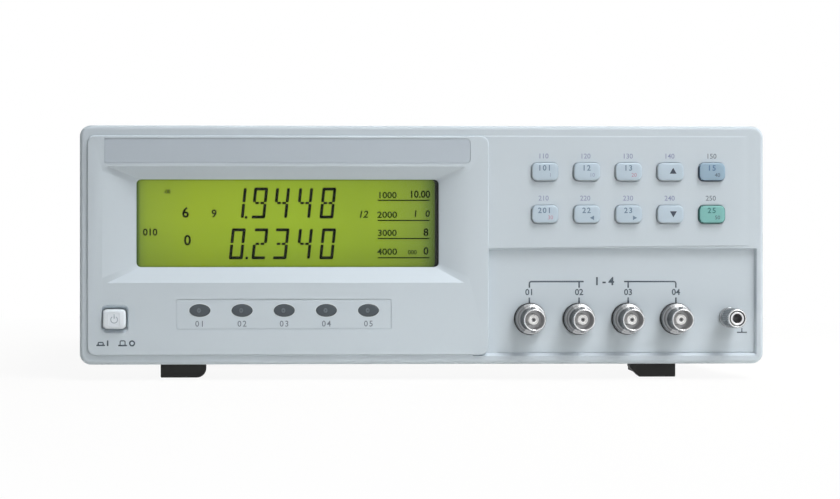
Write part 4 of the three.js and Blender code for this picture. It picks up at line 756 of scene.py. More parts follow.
lit_glass, glow_tree, glow_shader = new_material("lit_glass")
glass_place = new_node(glow_tree, "TexCoord").outputs["Object"]
axes = new_node(glow_tree, "SeparateXYZ", links={0: glass_place}).outputs
left_end, right_end, low_end, high_end = [side * MM for side in window]
# Painted shade at both ends, widest at the right end.
along = strip_ramp(glow_tree, axes["X"], left_end, right_end, [
    (0.0, srgb(66, 84, 48)), (0.006, srgb(84, 104, 52)), (0.012, srgb(126, 148, 56)),
    (0.035, srgb(140, 162, 52)), (0.2, srgb(151, 173, 44)), (0.5, srgb(153, 179, 44)),
    (0.8, srgb(147, 171, 46)), (0.94, srgb(128, 150, 54)), (0.975, srgb(96, 118, 52)),
    (1.0, srgb(44, 58, 34)),
])
# Painted shade at the top and bottom edges.
upward = strip_ramp(glow_tree, axes["Z"], low_end, high_end, [
    (0.0, (0.4, 0.42, 0.45)), (0.025, (0.72, 0.74, 0.78)), (0.25, (0.88, 0.9, 0.92)), (0.55, (1, 1, 1)),
    (0.85, (0.94, 0.94, 0.92)), (0.975, (0.86, 0.86, 0.86)), (1.0, (0.5, 0.52, 0.56)),
])
cloud = new_node(glow_tree, "TexNoise", {"Scale": 28, "Detail": 3}, {"Vector": glass_place}).outputs["Fac"]
patches = strip_ramp(glow_tree, cloud, 0.3, 0.7, [(0.0, (0.93, 0.94, 0.96)), (1.0, (1.03, 1.02, 0.98))])
glow = multiply(glow_tree, multiply(glow_tree, along, upward), patches)
glow_tree.links.new(glow, glow_shader.inputs["Emission Color"])
glow_shader.inputs["Emission Strength"].default_value = 0.95
glow_shader.inputs["Base Color"].default_value = (0.03, 0.04, 0.008, 1)
glow_shader.inputs["Specular IOR Level"].default_value = 0.1
glow_shader.inputs["Roughness"].default_value = 0.5
dress(lit_glass, "lcd_glass")
print("display glass from", round(left_end, 4), "to", round(right_end, 4))

# %% [markdown]
# A clear sheet closes the opening in front of the glass. It is thin, so nothing bends in it: it lets light
# straight through and mirrors a small share, which grows towards a flat angle.

# %% Display: clear sheet
clear_sheet, sheet_tree = new_material("clear_sheet")[:2]
see_through = new_node(sheet_tree, "BsdfTransparent", {"Color": (0.97, 0.98, 0.96, 1)})
shine = new_node(sheet_tree, "BsdfGlossy", {"Roughness": 0.12})
mirror_share = new_node(sheet_tree, "Fresnel", {"IOR": 1.2})
show(sheet_tree, new_node(sheet_tree, "MixShader", links={
    0: mirror_share.outputs[0], 1: see_through.outputs[0], 2: shine.outputs[0]}))
dress(clear_sheet, "display_window")
print("clear sheet on", nodes["display_window"].name)

# %% [markdown]
# The figures are thin dark bars on the glass. Each figure has seven bars, the middle one in two halves, and
# it leans a little to the right. The bars are slabs with cut corners. One drawing of a full figure gives the
# place of every bar, and each number takes only the bars that it needs.

# %% Display: figures
GLASS = 9.2
half_w, half_h, stroke, gap = 3.15, 7.0, 1.35, 0.22
bars = {
    "top": (-half_w + gap, half_w - gap, half_h - stroke, half_h),
    "bottom": (-half_w + gap, half_w - gap, -half_h, -half_h + stroke),
    "middle_left": (-half_w + stroke * 0.85, -0.28, -stroke * 0.4, stroke * 0.4),
    "middle_right": (0.28, half_w - stroke * 0.85, -stroke * 0.4, stroke * 0.4),
    "upper_left": (-half_w, -half_w + stroke, gap + 0.15, half_h - gap - 0.1),
    "upper_right": (half_w - stroke, half_w, gap + 0.15, half_h - gap - 0.1),
    "lower_left": (-half_w, -half_w + stroke, -half_h + gap + 0.1, -gap - 0.15),
    "lower_right": (half_w - stroke, half_w, -half_h + gap + 0.1, -gap - 0.15),
}
sides = ["upper_left", "upper_right", "lower_left", "lower_right"]
middle = ["middle_left", "middle_right"]
lit_bars = {
    "0": ["top", "bottom"] + sides,
    "1": ["upper_right", "lower_right"],
    "2": ["top", "upper_right", "lower_left", "bottom"] + middle,
    "3": ["top", "upper_right", "lower_right", "bottom"] + middle,
    "4": ["upper_left", "upper_right", "lower_right"] + middle,
    "8": ["top", "bottom"] + sides + middle,
    "9": ["top", "upper_left", "upper_right", "lower_right", "bottom"] + middle,
}
lean = Matrix.Identity(4)
lean[0][2] = math.tan(math.radians(6))


def figure(number, x, z):
    """One figure of the readout, centred at a place."""
    made = [slab(f"bar_{bar}", bars[bar], -0.03, 0.03, radius=0.3, steps=2) for bar in lit_bars[number]]
    piece = joined(f"figure_{number}", *made)
    piece.data.transform(Matrix.Translation((0, -FACE_DEPTH, 0)))
    piece.data.transform(lean)
    piece.data.transform(Matrix.Translation(at(x, GLASS - 0.04, z)))
    return piece


on_glass = [figure(n, x, 79.25) for n, x in zip("19448", (-81.95, -72.3, -62.4, -51.95, -41.45))]
on_glass += [figure(n, x, 60.8) for n, x in zip("02340", (-82.4, -72.2, -62.65, -52.05, -41.55))]
on_glass += [slab("point", around(x, z, 1.25, 1.25), GLASS - 0.07, GLASS - 0.01, radius=0.5, steps=3)
             for x, z in ((-78.45, 72.75), (-78.15, 54.4))]
on_glass += [slab("line", (-18.9, 4.6, z - 0.27, z + 0.27), GLASS - 0.07, GLASS - 0.01)
             for z in (80.5, 71.4, 63.2, 54.5)]
readout = joined("readout_figures", *on_glass)
place_on(readout, "case", segment_ink, "lcd")
print("readout", len(readout.data.polygons), "faces")

# %% [markdown]
# Small printed signs are numbers only. Each is a text object turned into a mesh, a few hundredths of a
# millimetre thick, that stands on the surface it is printed on.

# %% Printed signs
INK = 0.03
FIGURE_SHARE = 0.73


def printed(name, words, x, z, height, on_depth, slant=0.0, spacing=1.0, width=1.0, weight=0.0):
    """Figures of a height in millimetres, which is a share of the size that a font is given."""
    sign = primitive(ops.object.text_add, name)
    sign.data.body = words
    sign.data.size = height / FIGURE_SHARE * MM
    sign.data.align_x = "CENTER"
    sign.data.align_y = "CENTER"
    sign.data.extrude = INK / 2 * MM
    sign.data.offset = weight * MM
    sign.data.resolution_u = 3
    sign.data.shear = slant
    sign.data.space_character = spacing
    ops.object.convert(target="MESH")
    sign = bpy.context.object
    sign.scale = (width, 1, 1)
    sign.rotation_euler = UPRIGHT
    sign.location = at(x, on_depth - INK / 2, z)
    return settle(sign)


def print_group(name, body, look, slot, signs):
    return place_on(point_outwards(joined(name, *signs)), body, look, slot)


strong_marks = [
    ("6", -105.8, 74.7, 4.7, 0.0, 1.0), ("0", -104.9, 62.2, 4.7, 0.0, 1.0),
    ("9", -93.0, 74.3, 3.6, 0.05, 1.0),
    ("010", -121.7, 65.9, 3.2, 0.0, 1.0), ("-00", -114.1, 84.3, 1.9, 0.0, 0.9),
    ("10.00", 0.2, 83.1, 3.3, 0.0, 0.95), ("8", 3.0, 65.9, 3.4, 0.0, 1.0), ("0", 3.0, 57.4, 3.4, 0.0, 1.0),
    ("1   0", 0.9, 74.3, 3.0, 0.1, 1.0),
]
faint_marks = [
    ("12", -25.6, 74.0, 3.3, 0.2, 1.0), ("1000", -14.6, 82.7, 2.9, 0.0, 1.1),
    ("2000", -14.6, 73.8, 2.9, 0.0, 1.15), ("3000", -14.6, 65.6, 2.9, 0.0, 1.1),
    ("4000", -14.6, 57.1, 2.9, 0.0, 1.15), ("000", -3.2, 56.9, 2.0, 0.0, 1.0),
]
for name, look, marks in (("strong_marks", segment_ink, strong_marks),
                          ("faint_marks", faint_ink, faint_marks)):
    made = [printed(name, words, x, z, height, GLASS - 0.01, slant=slant, width=width, weight=height * 0.032)
            for words, x, z, height, slant, width in marks]
    print_group(f"readout_{name}", "case", look, "lcd", made)
print("marks", len(strong_marks) + len(faint_marks))

# %% [markdown]
# The printed lines, the brackets over the terminals and the signs by the power button, are thin layers of
# ink. A flat curve gives such a line an even width and rounded corners. Each is a fine tube along its points,
# made a mesh and pressed flat on the surface. An arrow head is a three-sided disc, stretched and turned.

# %% Printed lines and arrows


def drawn_line(points, width, on_depth, corner=0.0, closed=False):
    """A printed line through its points, with its inner corners rounded."""
    path = []
    for i, (x, z) in enumerate(points):
        if not corner or not (closed or 0 < i < len(points) - 1):
            path.append((x, z))
            continue
        here = Vector((x, z))
        ends = [here + (Vector(points[j % len(points)]) - here).normalized() * corner for j in (i - 1, i + 1)]
        for step in range(5):
            share = step / 4
            rest = 1 - share
            path.append(tuple(ends[0] * rest ** 2 + here * 2 * share * rest + ends[1] * share ** 2))
    curve = bpy.data.curves.new("line", "CURVE")
    curve.dimensions = "3D"
    curve.bevel_depth = width / 2 * MM
    curve.bevel_resolution = 1
    curve.use_fill_caps = True
    spline = curve.splines.new("POLY")
    spline.points.add(len(path) - 1)
    for point, (x, z) in zip(spline.points, path):
        point.co = (*at(x, on_depth, z), 1)
    spline.use_cyclic_u = closed
    line = bpy.data.objects.new("line", curve)
    scene.collection.objects.link(line)
    only(line)
    ops.object.convert(target="MESH")
    line = bpy.context.object
    choose(line, "VERT", any_part)
    ops.transform.resize(value=(1, 2 * INK / width, 1), center_override=at(0, on_depth, 0))
    return done(line)


def oval_points(x, z, half_width, half_height, steps, start=0, end=360):
    """Points of an oval, or of a part of one between two angles."""
    angles = [math.radians(start + (end - start) * i / steps) for i in range(steps + (end - start < 360))]
    return [(x + half_width * math.cos(a), z + half_height * math.sin(a)) for a in angles]


def arrow(x, z, width, height, on_depth, turn):
    head = settle(primitive(ops.mesh.primitive_circle_add, "arrow", vertices=3, radius=MM, fill_type="NGON",
                            rotation=UPRIGHT))
    choose(head, "VERT", any_part)
    ops.transform.resize(value=(width / 1.732, 1, height / 1.5), center_override=(0, 0, 0))
    done(head)
    choose(head, "FACE", any_part)
    pull(INK)
    done(head)
    head.rotation_euler = (0, math.radians(turn), 0)
    head.location = at(x, on_depth - INK, z)
    return settle(head)


print("ink lines are", INK, "mm thick")

# %% [markdown]
# A black frame sits between the clear sheet and the glass. Its hole is cut so that only its right side
# shows, as a narrow dark band.

# %% Display: frame
display_frame = slab("display_frame", (-129.8, 10.6, 49.3, 91.75), 8.98, 9.17, radius=1.0, steps=3)
combine(display_frame, "DIFFERENCE", slab("frame_hole", (-128.2, 7.0, 50.0, 90.1), 8, 10, radius=2.2))
place_on(display_frame, "case", black_plastic, "black_plastic")
print("display frame", [round(v / MM, 1) for v in display_frame.dimensions])

# %% [markdown]
# Two thin printed films lie in shallow beds on the display field: a long bare one above the display, and one
# with the five indicator lamps below it. The long one is a little darker and smoother than the moulding, the
# other has the moulding's own finish, and they stop just short of the edge of their bed, which leaves a fine
# line round them.

# %% Films
TITLE_FACE, STRIP_FACE, FILM_GAP = 0.14, 0.12, 0.14
title_film = slab("title_film", inset(title_bed, FILM_GAP), TITLE_FACE, 0.35, radius=1.9, rounded=on_right)
bevel_rim(title_film, TITLE_FACE, 0.05, 2)
place_on(smooth(title_film, 40), "case", film, "fascia")

strip_film = slab("strip_film", inset(strip_bed, FILM_GAP), STRIP_FACE, 0.3, radius=0.5, steps=3)
bevel_rim(strip_film, STRIP_FACE, 0.05, 2)
ovals = [as_oval(disc("oval_hole", 0, 0, 1, BEFORE_ALL, 6), 9.5, 5.8, x, z) for x, z in lamp_places]
combine(strip_film, "DIFFERENCE", joined("oval_holes", *ovals))
place_on(smooth(strip_film, 40), "case", pale_plastic, "fascia")
print("films", title_film.name, strip_film.name)

# %% [markdown]
# The indicator lenses are smoked oval windows, a little domed, each with a small lamp behind it that isn't
# modelled. A small paler mark on each dome is a painted glint. A round dome is stretched to the oval, and the
# five stand on one strip behind the panel. A pale line is printed round each one, with a number below it.

# %% Indicator lenses
dome = turned("lens_dome", 0, 0, [
    (0, 3.2), (0.5, 3.2), (0.5, 0.25), (0.49, 0.12), (0.46, 0.02), (0.36, -0.1), (0.2, -0.18), (0, -0.2),
])
lens_strip = slab("lens_strip", around(-61.31, 29.4, 96.5, 13.4), 2.95, 4.35, radius=1)
domes = [as_oval(copy_of(dome, f"lens_{n}"), 9.4, 5.7, x, z) for n, (x, z) in enumerate(lamp_places)]
lenses = smooth(joined("indicator_lenses", lens_strip, *domes), 40)
place_on(lenses, "case", smoked, "lens", ["indicator_lens_strip"])
bpy.data.objects.remove(dome)

lamp_numbers = [printed("lamp_number", f"0{n}", x, 25.0, 2.7, STRIP_FACE, spacing=1.25, weight=0.04)
                for n, (x, z) in enumerate(lamp_places, start=1)]
rims = [drawn_line(oval_points(x, z, 4.95, 3.1, 40), 0.45, STRIP_FACE, closed=True) for x, z in lamp_places]
# Painted glints: small paler marks on the domes.
glints = [drawn_line(oval_points(x - 0.4, z, 0.55, 0.75, 12), 0.8, -0.19, closed=True)
          for x, z in lamp_places]
print_group("lamp_numbers", "case", grey_print, "fascia", lamp_numbers)
print_group("lens_rims", "case", pale_print, "fascia", rims)
print_group("lens_glints", "case", painted_glint_ink, "lens", glints)
print("lenses", len(lamp_places))

# %% [markdown]
# The keys are ten equal caps of pale plastic. A cap is a slab with generous corners, a soft edge and a face
# that is slightly crowned, so that its left and lower sides fall into shade. Behind the front it has a flange
# that stops it in its hole, and a stem that presses the switch. One cap is modelled and then copied.

# %% Keys: one cap


def tapered(name, rect, radius, rings):
    """A cap that is built forwards: each ring is a depth and how far the outline has drawn in there."""
    back, front = rings[0][0], rings[1][0]
    piece = slab(name, rect, front, back, radius, steps=8)
    return build_out(piece, front, rect, [(depth, inset(rect, by)) for depth, by in rings[2:]])


key_cap = tapered("key_cap", (-5.9, 5.9, -4.3, 3.8), 2.4, (
    (4.7, 0.0), (-0.2, 0.0), (-0.43, 0.1), (-0.61, 0.3), (-0.72, 0.65), (-0.77, 1.2), (-0.8, 2.2)))
key_flange = slab("key_flange", around(0, 0, 14.4, 11.2), 3.7, 4.7, radius=2.9, steps=5)
key_stem = slab("key_stem", around(0, 0, 3.2, 3.2), 4.5, 8.9, radius=0.4, steps=3)
combine(key_cap, "UNION", key_flange, key_stem)
smooth(key_cap, 40)
print("key cap", len(key_cap.data.polygons), "faces")

# %% [markdown]
# Each copy rides on its own key. Its sides that face left or down get the darker copy of its colour,
# painted shade, up to a limit on how far their normals may turn to the right or up.

# %% Keys: copies in their places
key_finishes = {"key_top_5": (key_blue, "key_blue", side_blue, 0.3),
                "key_bottom_5": (key_green, "key_green", side_green, 2.0)}
for name, (x, z) in key_places.items():
    cap = copy_of(key_cap, f"{name}_cap", x, z)
    look, slot, side, reach = key_finishes.get(name, (key_grey, "key_grey", side_grey, 0.3))
    place_on(cap, name, look, slot, [name])
    # painted shade on the sides that face left and down
    paint_faces(cap, side, lambda face: abs(face.normal.y) < 0.8 and middle_depth(face) < 2
                and max(face.normal.x, face.normal.z) < reach)
bpy.data.objects.remove(key_cap)
print("keys", len(key_places))

# %% [markdown]
# The power button is a white cap in a well, with a raised rounded square round the power sign. Its long rod
# reaches back to the mains switch. The cap is a slab like the keys, a little bulged on all four sides.

# %% Power button
power_cap = tapered("power_cap", around(*power_place, 10.3, 8.8), 1.8, (
    (7.4, 0.0), (-0.6, 0.0), (-1.1, 0.15), (-1.45, 0.45), (-1.65, 0.9), (-1.76, 1.5), (-1.8, 2.3)))
combine(power_cap, "UNION",
        slab("power_flange", around(*power_place, 12.5, 11.0), 6.4, 7.4, radius=1.8),
        slab("power_rod", around(*power_place, 3.6, 3.6), 7.0, 29.9, radius=0.4, steps=3),
        slab("ridge", around(*power_place, 5.8, 6.6), -1.95, -1.5, radius=1.3))
combine(power_cap, "DIFFERENCE",
        slab("ridge_floor", around(*power_place, 5.0, 5.8), BEFORE_ALL, -1.75, radius=1.0))
smooth(power_cap, 40)
place_on(power_cap, "power_button", white_cap, "white_cap", ["power_button"])
print("power cap", len(power_cap.data.polygons), "faces")

# %% [markdown]
# Each test terminal is a coaxial socket. Its nickel-plated shell is turned from bar: its half outline is
# spun round the axis, and two bayonet lugs are added. In the bore stands a white insulator with a plated
# contact, and a black bushing keeps the shell off the panel. One set is made here, round the frame's middle.

# %% Terminals: one set
shell = turned("shell", 0, 0, [
    (2.65, 11.6), (2.65, -2.4), (4.22, -2.4), (4.22, -10.4), (4.28, -10.75), (4.38, -10.94), (4.48, -11.0),
    (4.62, -10.97), (4.76, -10.85), (4.85, -10.6), (4.85, -9.4), (4.78, -9.3), (4.78, -9.1), (4.85, -9.0),
    (4.85, -3.2), (4.9, -2.6), (5.15, -2.15), (5.6, -1.95), (5.75, -1.9), (5.9, -1.75), (5.95, -1.4),
    (6.0, -1.05), (6.15, -0.98), (6.5, -0.95), (6.75, -0.8), (6.88, -0.5), (6.9, -0.2), (6.9, 0.9),
    (6.85, 1.1), (6.7, 1.2), (4.6, 1.2), (4.6, 11.2), (4.3, 11.6), (2.65, 11.6),
], steps=72)
lugs = rod("lugs", at(0, -6.4, 0), 2.0, 11.5, (0, 0, 0), sides=24)
choose(lugs, "EDGE", lambda edge: abs(edge.verts[0].co.z - edge.verts[1].co.z) < 0.0001)
ops.mesh.bevel(offset=0.25 * MM, segments=3)
done(lugs)
combine(lugs, "DIFFERENCE", disc("lug_bore", 0, 0, 8.9, -9, -3))
smooth(combine(shell, "UNION", lugs))
insulator = smooth(turned("insulator", 0, 0, [
    (0, 20.1), (0, -1.0), (0.82, -1.0), (0.82, -7.4), (0.95, -7.5), (2.1, -7.5), (2.26, -7.4), (2.3, -7.2),
    (2.3, -2.0), (2.4, -2.0), (2.4, 16.6), (0.8, 16.6), (0.8, 20.1), (0, 20.1),
], steps=40))
contact = smooth(turned("contact", 0, 0, [
    (0.5, -1.1), (0.5, -7.4), (0.6, -7.58), (0.8, -7.64), (0.93, -7.6), (0.97, -7.52), (0.8, -7.4),
    (0.8, -1.1), (0.5, -1.1),
], steps=32))
bushing = smooth(turned("bushing", 0, 0, [
    (5.0, 5.5), (5.0, 1.45), (7.0, 1.45), (7.15, 1.55), (7.2, 1.75), (7.2, 2.65), (6.0, 2.65), (6.0, 5.5),
    (5.0, 5.5),
], steps=64))
print("terminal set", [len(p.data.polygons) for p in (shell, insulator, contact, bushing)])

# %% [markdown]
# Lighter and darker copies of the nickel paint light and shade onto the turned parts. The mouth of the shell
# has the lighter copy, a painted highlight; the barrel and the left side of its flange have the darker one, a
# painted reflection of a dark room; and the bore is matt. Faces are picked by their depth, by how far they
# are from the axis and, on the flange, by their side.

# %% Terminals: their finishes
for piece, look in ((shell, nickel), (insulator, white_insulator), (contact, nickel),
                    (bushing, black_plastic)):
    piece.data.materials.append(look)


def in_bore(face, radius=4.4, front=-10.9, back=-2.0):
    """Whether a face of the set lies wholly inside a bore."""
    depths = [depth_of(v) for v in face.verts]
    radii = [math.hypot(v.co.x, v.co.z) / MM for v in face.verts]
    return max(radii) < radius and min(depths) > front and max(depths) < back


def on_left(face):
    middle_point = face.calc_center_median()
    return abs(math.atan2(middle_point.z, -middle_point.x)) < math.radians(58)


def painted_shade_part(face):
    depth = middle_depth(face)
    on_barrel = -9.6 < depth < -2.4 and not in_bore(face)
    return on_barrel or (-2.4 <= depth < 1.3 and on_left(face))


paint_faces(shell, dark_bore, in_bore)
# Painted highlight on the mouth, painted shade on the barrel and the left of the flange.
paint_faces(shell, bright_nickel, lambda face: middle_depth(face) < -10.6 and not in_bore(face))
paint_faces(shell, dull_nickel, painted_shade_part)
paint_faces(contact, dark_bore, lambda face: in_bore(face, 0.52, -7.5, -0.5))
print("finishes of a shell", [look.name for look in shell.data.materials])

# %% Terminals: four sets
terminal_set = ((shell, "shell", "chrome", "bnc_shell"),
                (insulator, "core", "white_insulator", "bnc_insulator"),
                (contact, "contact", "brass", None), (bushing, "bushing", "black_plastic", "bnc_bushing"))
for n, (x, z) in enumerate(terminal_places, start=1):
    for piece, part, slot, node in terminal_set:
        twin = copy_of(piece, f"terminal_{part}_{n}", x, z)
        place_on(twin, "case", slot=slot, instead_of=[f"{node}_{n}"] if node else ())
for row in terminal_set:
    bpy.data.objects.remove(row[0])
print("terminals", len(terminal_places))

# %% [markdown]
# The ground post is a nickel stud with a collar, a washer and a knurled knob. The knob's outline is a
# cylinder whose every second edge is pulled in, which gives straight knurls, with a plain bevelled ring in
# front.

# %% Ground post
gx, gz = ground_place
KNURLS = 60
stud = smooth(turned("ground_stud", gx, gz, [
    (0, 12.15), (0, 1.15), (2.0, 1.15), (2.0, -10.6), (2.15, -10.95), (2.3, -11.0), (2.85, -11.0),
    (2.98, -10.9), (2.98, 0.65), (4.3, 0.65), (4.45, 0.8), (4.45, 2.65), (2.5, 2.65), (2.5, 11.8),
    (2.3, 12.15), (0, 12.15),
]))
washer = smooth(turned("ground_washer", gx, gz, [
    (3.15, 0.4), (3.15, -0.4), (4.1, -0.4), (4.2, -0.3), (4.2, 0.3), (4.1, 0.4), (3.15, 0.4),
]))


def every_second(edge):
    """Whether an edge runs along the knob and has an even number, counted round it."""
    corner = edge.verts[0].co
    angle = math.degrees(math.atan2(corner.z - gz * MM, corner.x - gx * MM))
    return edge.calc_length() > 9 * MM and round(angle / (360 / KNURLS)) % 2 == 0


knob_body = disc("ground_knob", gx, gz, 8.8, -10.2, -0.65, sides=KNURLS)
choose(knob_body, "EDGE", every_second)
ops.transform.resize(value=(0.945, 1, 0.945), center_override=at(gx, 0, gz))
done(knob_body)
knob_back = [(4.12, -0.65), (4.6, -0.65), (4.6, -1.4), (4.4, -1.1), (4.12, -0.65)]
combine(knob_body, "DIFFERENCE", disc("knob_bore", gx, gz, 6.3, -12, 0),
        turned("knob_back", gx, gz, knob_back))
combine(knob_body, "UNION", turned("knob_ring", gx, gz, [
    (3.15, -9), (3.15, -10.2), (3.5, -11.1), (3.58, -11.25), (3.7, -11.25), (3.95, -11.15), (4.1, -10.85),
    (4.15, -10.2), (4.15, -9), (3.15, -9),
]))
smooth(knob_body, 25)
print("ground post", len(stud.data.polygons), len(washer.data.polygons), len(knob_body.data.polygons))

# %% Ground post: its finishes


def in_post(face):
    return all(math.hypot(v.co.x - gx * MM, v.co.z - gz * MM) < 2.1 * MM for v in face.verts)


place_on(stud, "case", nickel, "chrome", ["ground_post_stud"])
paint_faces(stud, dark_bore, lambda face: in_post(face) and middle_depth(face) < 1.2)
# Painted highlight on the front of the stud.
paint_faces(stud, bright_nickel, lambda face: middle_depth(face) < -10.7 and not in_post(face))
place_on(washer, "ground_post_washer", nickel, "chrome", ["ground_post_washer"])
# Painted shade: the knob has the darker copy of the nickel, and its front ring the lighter one, a painted
# highlight.
place_on(knob_body, "ground_post_knob", dull_nickel, "chrome", ["ground_post_knob"])
paint_faces(knob_body, bright_nickel, lambda face: middle_depth(face) < -10.25)
print("finishes of the stud", [look.name for look in stud.data.materials])

# %% [markdown]
# Over the terminals a bracket joins each pair, with a number for each terminal. It is drawn with the line
# helper: each row below gives a line's points, its width and how round its corners are.

# %% Signs on the terminal field
bracket_drops = (48.96, 71.44, 93.67, 115.3)
bracket_top, bracket_foot = 43.82, 41.06
lines = [
    ([(48.96, bracket_foot), (48.96, bracket_top), (73.52, bracket_top)], 0.7, 1.0),
    ([(91.81, bracket_top), (115.3, bracket_top), (115.3, bracket_foot)], 0.7, 1.0),
    ([(145.28, 22.8), (145.28, 20.9)], 0.5, 0.0),
    ([(143.0, 20.9), (147.55, 20.9)], 0.55, 0.0),
]
lines += [([(x, bracket_top), (x, bracket_foot)], 0.7, 0.0) for x in bracket_drops[1:3]]
lines += [([(x, 36.66), (x, 33.99)], 0.7, 0.0) for x in bracket_drops]
signs = [drawn_line(points, width, LOW_FACE, corner) for points, width, corner in lines]
signs += [printed("terminal_number", f"0{n}", x, 38.93, 2.8, LOW_FACE, weight=0.08)
          for n, x in enumerate(bracket_drops, start=1)]
signs.append(printed("terminal_range", "1-4", 82.75, 43.8, 3.6, LOW_FACE, spacing=1.5, weight=0.16))
print_group("terminal_signs", "case", slate_print, "fascia", signs)
print("signs on the terminal field", len(signs))

# %% [markdown]
# Below the power button, two small drawings of a button, pressed and released, stand beside the strokes for
# on and off. The cap has the round power sign inside its ridge, and that sign moves with the cap.

# %% Signs by the power button
px, pz = power_place
SIGN_IN_RIDGE = -1.76
power_lines = [
    ([(-145.2, 15.6), (-141.4, 15.6)], 0.75, 0.0),
    ([(-144.4, 15.6), (-144.4, 16.9), (-142.2, 16.9), (-142.2, 15.6)], 0.55, 0.5),
    ([(-140.2, 15.3), (-140.2, 17.8)], 0.7, 0.0),
    ([(-135.5, 15.5), (-131.6, 15.5)], 0.75, 0.0),
    ([(-134.65, 15.5), (-134.65, 17.6), (-132.45, 17.6), (-132.45, 15.5)], 0.45, 0.5),
]
power_signs = [drawn_line(points, width, 0.0, corner) for points, width, corner in power_lines]
power_signs.append(drawn_line(oval_points(-129.35, 16.45, 1.05, 1.05, 32), 0.75, 0.0, closed=True))
print_group("power_signs", "case", slate_print, "fascia", power_signs)
cap_sign = [
    drawn_line(oval_points(px, pz - 0.2, 1.5, 1.5, 32, 122, 418), 0.42, SIGN_IN_RIDGE),
    drawn_line([(px, pz + 0.3), (px, pz + 2.2)], 0.42, SIGN_IN_RIDGE),
]
print_group("cap_sign", "power_button", faint_print, "white_cap", cap_sign)
print("signs by the power button", len(power_lines) + 1)

# %% [markdown]
# Every key has a small number above it on the panel, and figures or an arrow on its cap. What stands on a
# cap has to move with it, so each cap's signs are a piece of their own that rides on the key.

# %% Signs above the keys
label_rows = ((100.1, 110, (54.91, 73.86, 92.96, 111.82, 130.83)),
              (81.2, 210, (55.0, 73.77, 93.14, 111.91, 130.56)))
labels = [printed("label", str(first + 10 * n), x, z, 2.3, KEYPAD_FACE, weight=0.03)
          for z, first, row in label_rows for n, x in enumerate(row)]
print_group("last_labels", "case", grey_print, "fascia", [labels[9], labels[4]])
print_group("key_labels", "case", violet_print, "fascia", labels[:4] + labels[5:9])
print("labels", len(labels))

# %% Signs on the keys
CAP_FACE = -0.8
main_figures = {"top_1": "101", "top_2": "12", "top_3": "13", "bottom_1": "201", "bottom_2": "22",
                "bottom_3": "23", "top_5": "15", "bottom_5": "25"}
side_figures = {"top_1": "1", "top_2": "10", "top_3": "20", "bottom_1": "30", "top_5": "40", "bottom_5": "50"}
arrows = {"top_4": (1.1, -0.2, 3.1, 2.7, 0), "bottom_4": (1.2, 0.2, 3.1, 2.7, 180),
          "bottom_3": (2.418, -1.85, 2.0, 1.9, 90), "bottom_2": (2.48, -1.85, 2.0, 1.9, -90)}
main_inks = {"top_5": blue_print, "bottom_5": teal_print, "top_4": dark_print, "bottom_4": dark_print}
side_inks = {"top_3": red_print, "bottom_1": red_print, "top_5": slate_print, "bottom_5": slate_print}
for name, (x, z) in key_places.items():
    short = name.replace("key_", "")
    slot = key_finishes.get(name, (key_grey, "key_grey"))[1]
    strong = []
    if short in main_figures:
        strong.append(printed("main", main_figures[short], x - 0.3, z + 1.35, 2.5, CAP_FACE, spacing=1.25,
                              weight=0.07))
    if short in arrows:
        dx, dz, width, height, turn = arrows[short]
        strong.append(arrow(x + dx, z + dz, width, height, CAP_FACE, turn))
    print_group(f"{name}_signs", name, main_inks.get(short, legend_print), slot, strong)
    if short in side_figures:
        small = printed("side", side_figures[short], x + 2.3, z - 1.75, 1.8, CAP_FACE)
        print_group(f"{name}_small_signs", name, side_inks.get(short, violet_print), slot, [small])
print("keys with figures", len(main_figures), "arrows", len(arrows))

# %% [markdown]
# The front feet are black mouldings with a folding leg in a recess of their underside. A foot starts as a
# slab seen from the front, its lower inner corner is bevelled away, and it draws in towards the rear. A notch
# on its inner side lets a finger reach the leg.

# %% Front feet
FOOT_FRONT, FOOT_REAR, HINGE_DEPTH, HINGE_HEIGHT = 14.5, 60.5, 20.5, 2.3
LEG_MIDDLE = 107.14


def cross_pin(name, middle_x, width, diameter):
    """A round bar from side to side through the hinge of a leg."""
    return rod(name, at(middle_x, HINGE_DEPTH, HINGE_HEIGHT), diameter, width, (0, math.pi / 2, 0), sides=28)


def soften(piece, size):
    """Rounds the sharp edges of a finished moulding a little."""
    choose(piece, "EDGE", lambda edge: len(edge.link_faces) == 2 and edge.calc_face_angle(0) > 0.6)
    ops.mesh.bevel(offset=size * MM, segments=2, clamp_overlap=True)
    return done(piece)


def front_foot(side_name, inner, outer, middle_x, corner_steps):
    """A foot between its inner and outer side, with a recess for the leg along its middle."""
    side = 1 if outer > inner else -1
    left, right = sorted((inner, outer))

    def on_inner_half(corner):
        return (corner.co.x - middle_x * MM) * side < 0

    foot = slab(f"foot_moulding_{side_name}", (left, right, 0.0, 9.55), FOOT_FRONT, FOOT_REAR, radius=4.3,
                steps=corner_steps, rounded=lambda corner: corner.co.z < 4 * MM and on_inner_half(corner))
    choose(foot, "VERT", lambda corner: depth_of(corner) > 60 and on_inner_half(corner))
    ops.transform.translate(value=(side * 5.0 * MM, 0, 0))
    done(foot)
    soften(foot, 0.4)
    notch = sorted((inner - side * 2, middle_x + side))
    combine(foot, "DIFFERENCE",
            slab("tuck", (left - 5, right + 5, 6.4, 12.0), 10, 25.3),
            slab("leg_recess", (middle_x - 4.7, middle_x + 4.7, -3, 4.5), 17.8, 53.9, radius=0.8, steps=3),
            slab("finger_notch", (*notch, -3, 7.2), 24.6, 62),
            cross_pin("pin_hole", middle_x, 11.8, 2.3))
    smooth(foot, 30)
    place_on(foot, "case", black_rubber, "foot", [f"foot_front_{side_name}"])


front_foot("left", -96.4, -117.2, -LEG_MIDDLE, 7)
front_foot("right", 97.1, 118.1, LEG_MIDDLE, 1)

# %% [markdown]
# The leg is a flat arm that tapers to its tip and turns on a pin across its front end. Three grooves near
# the tip keep it from slipping on the bench.

# %% Tilt legs


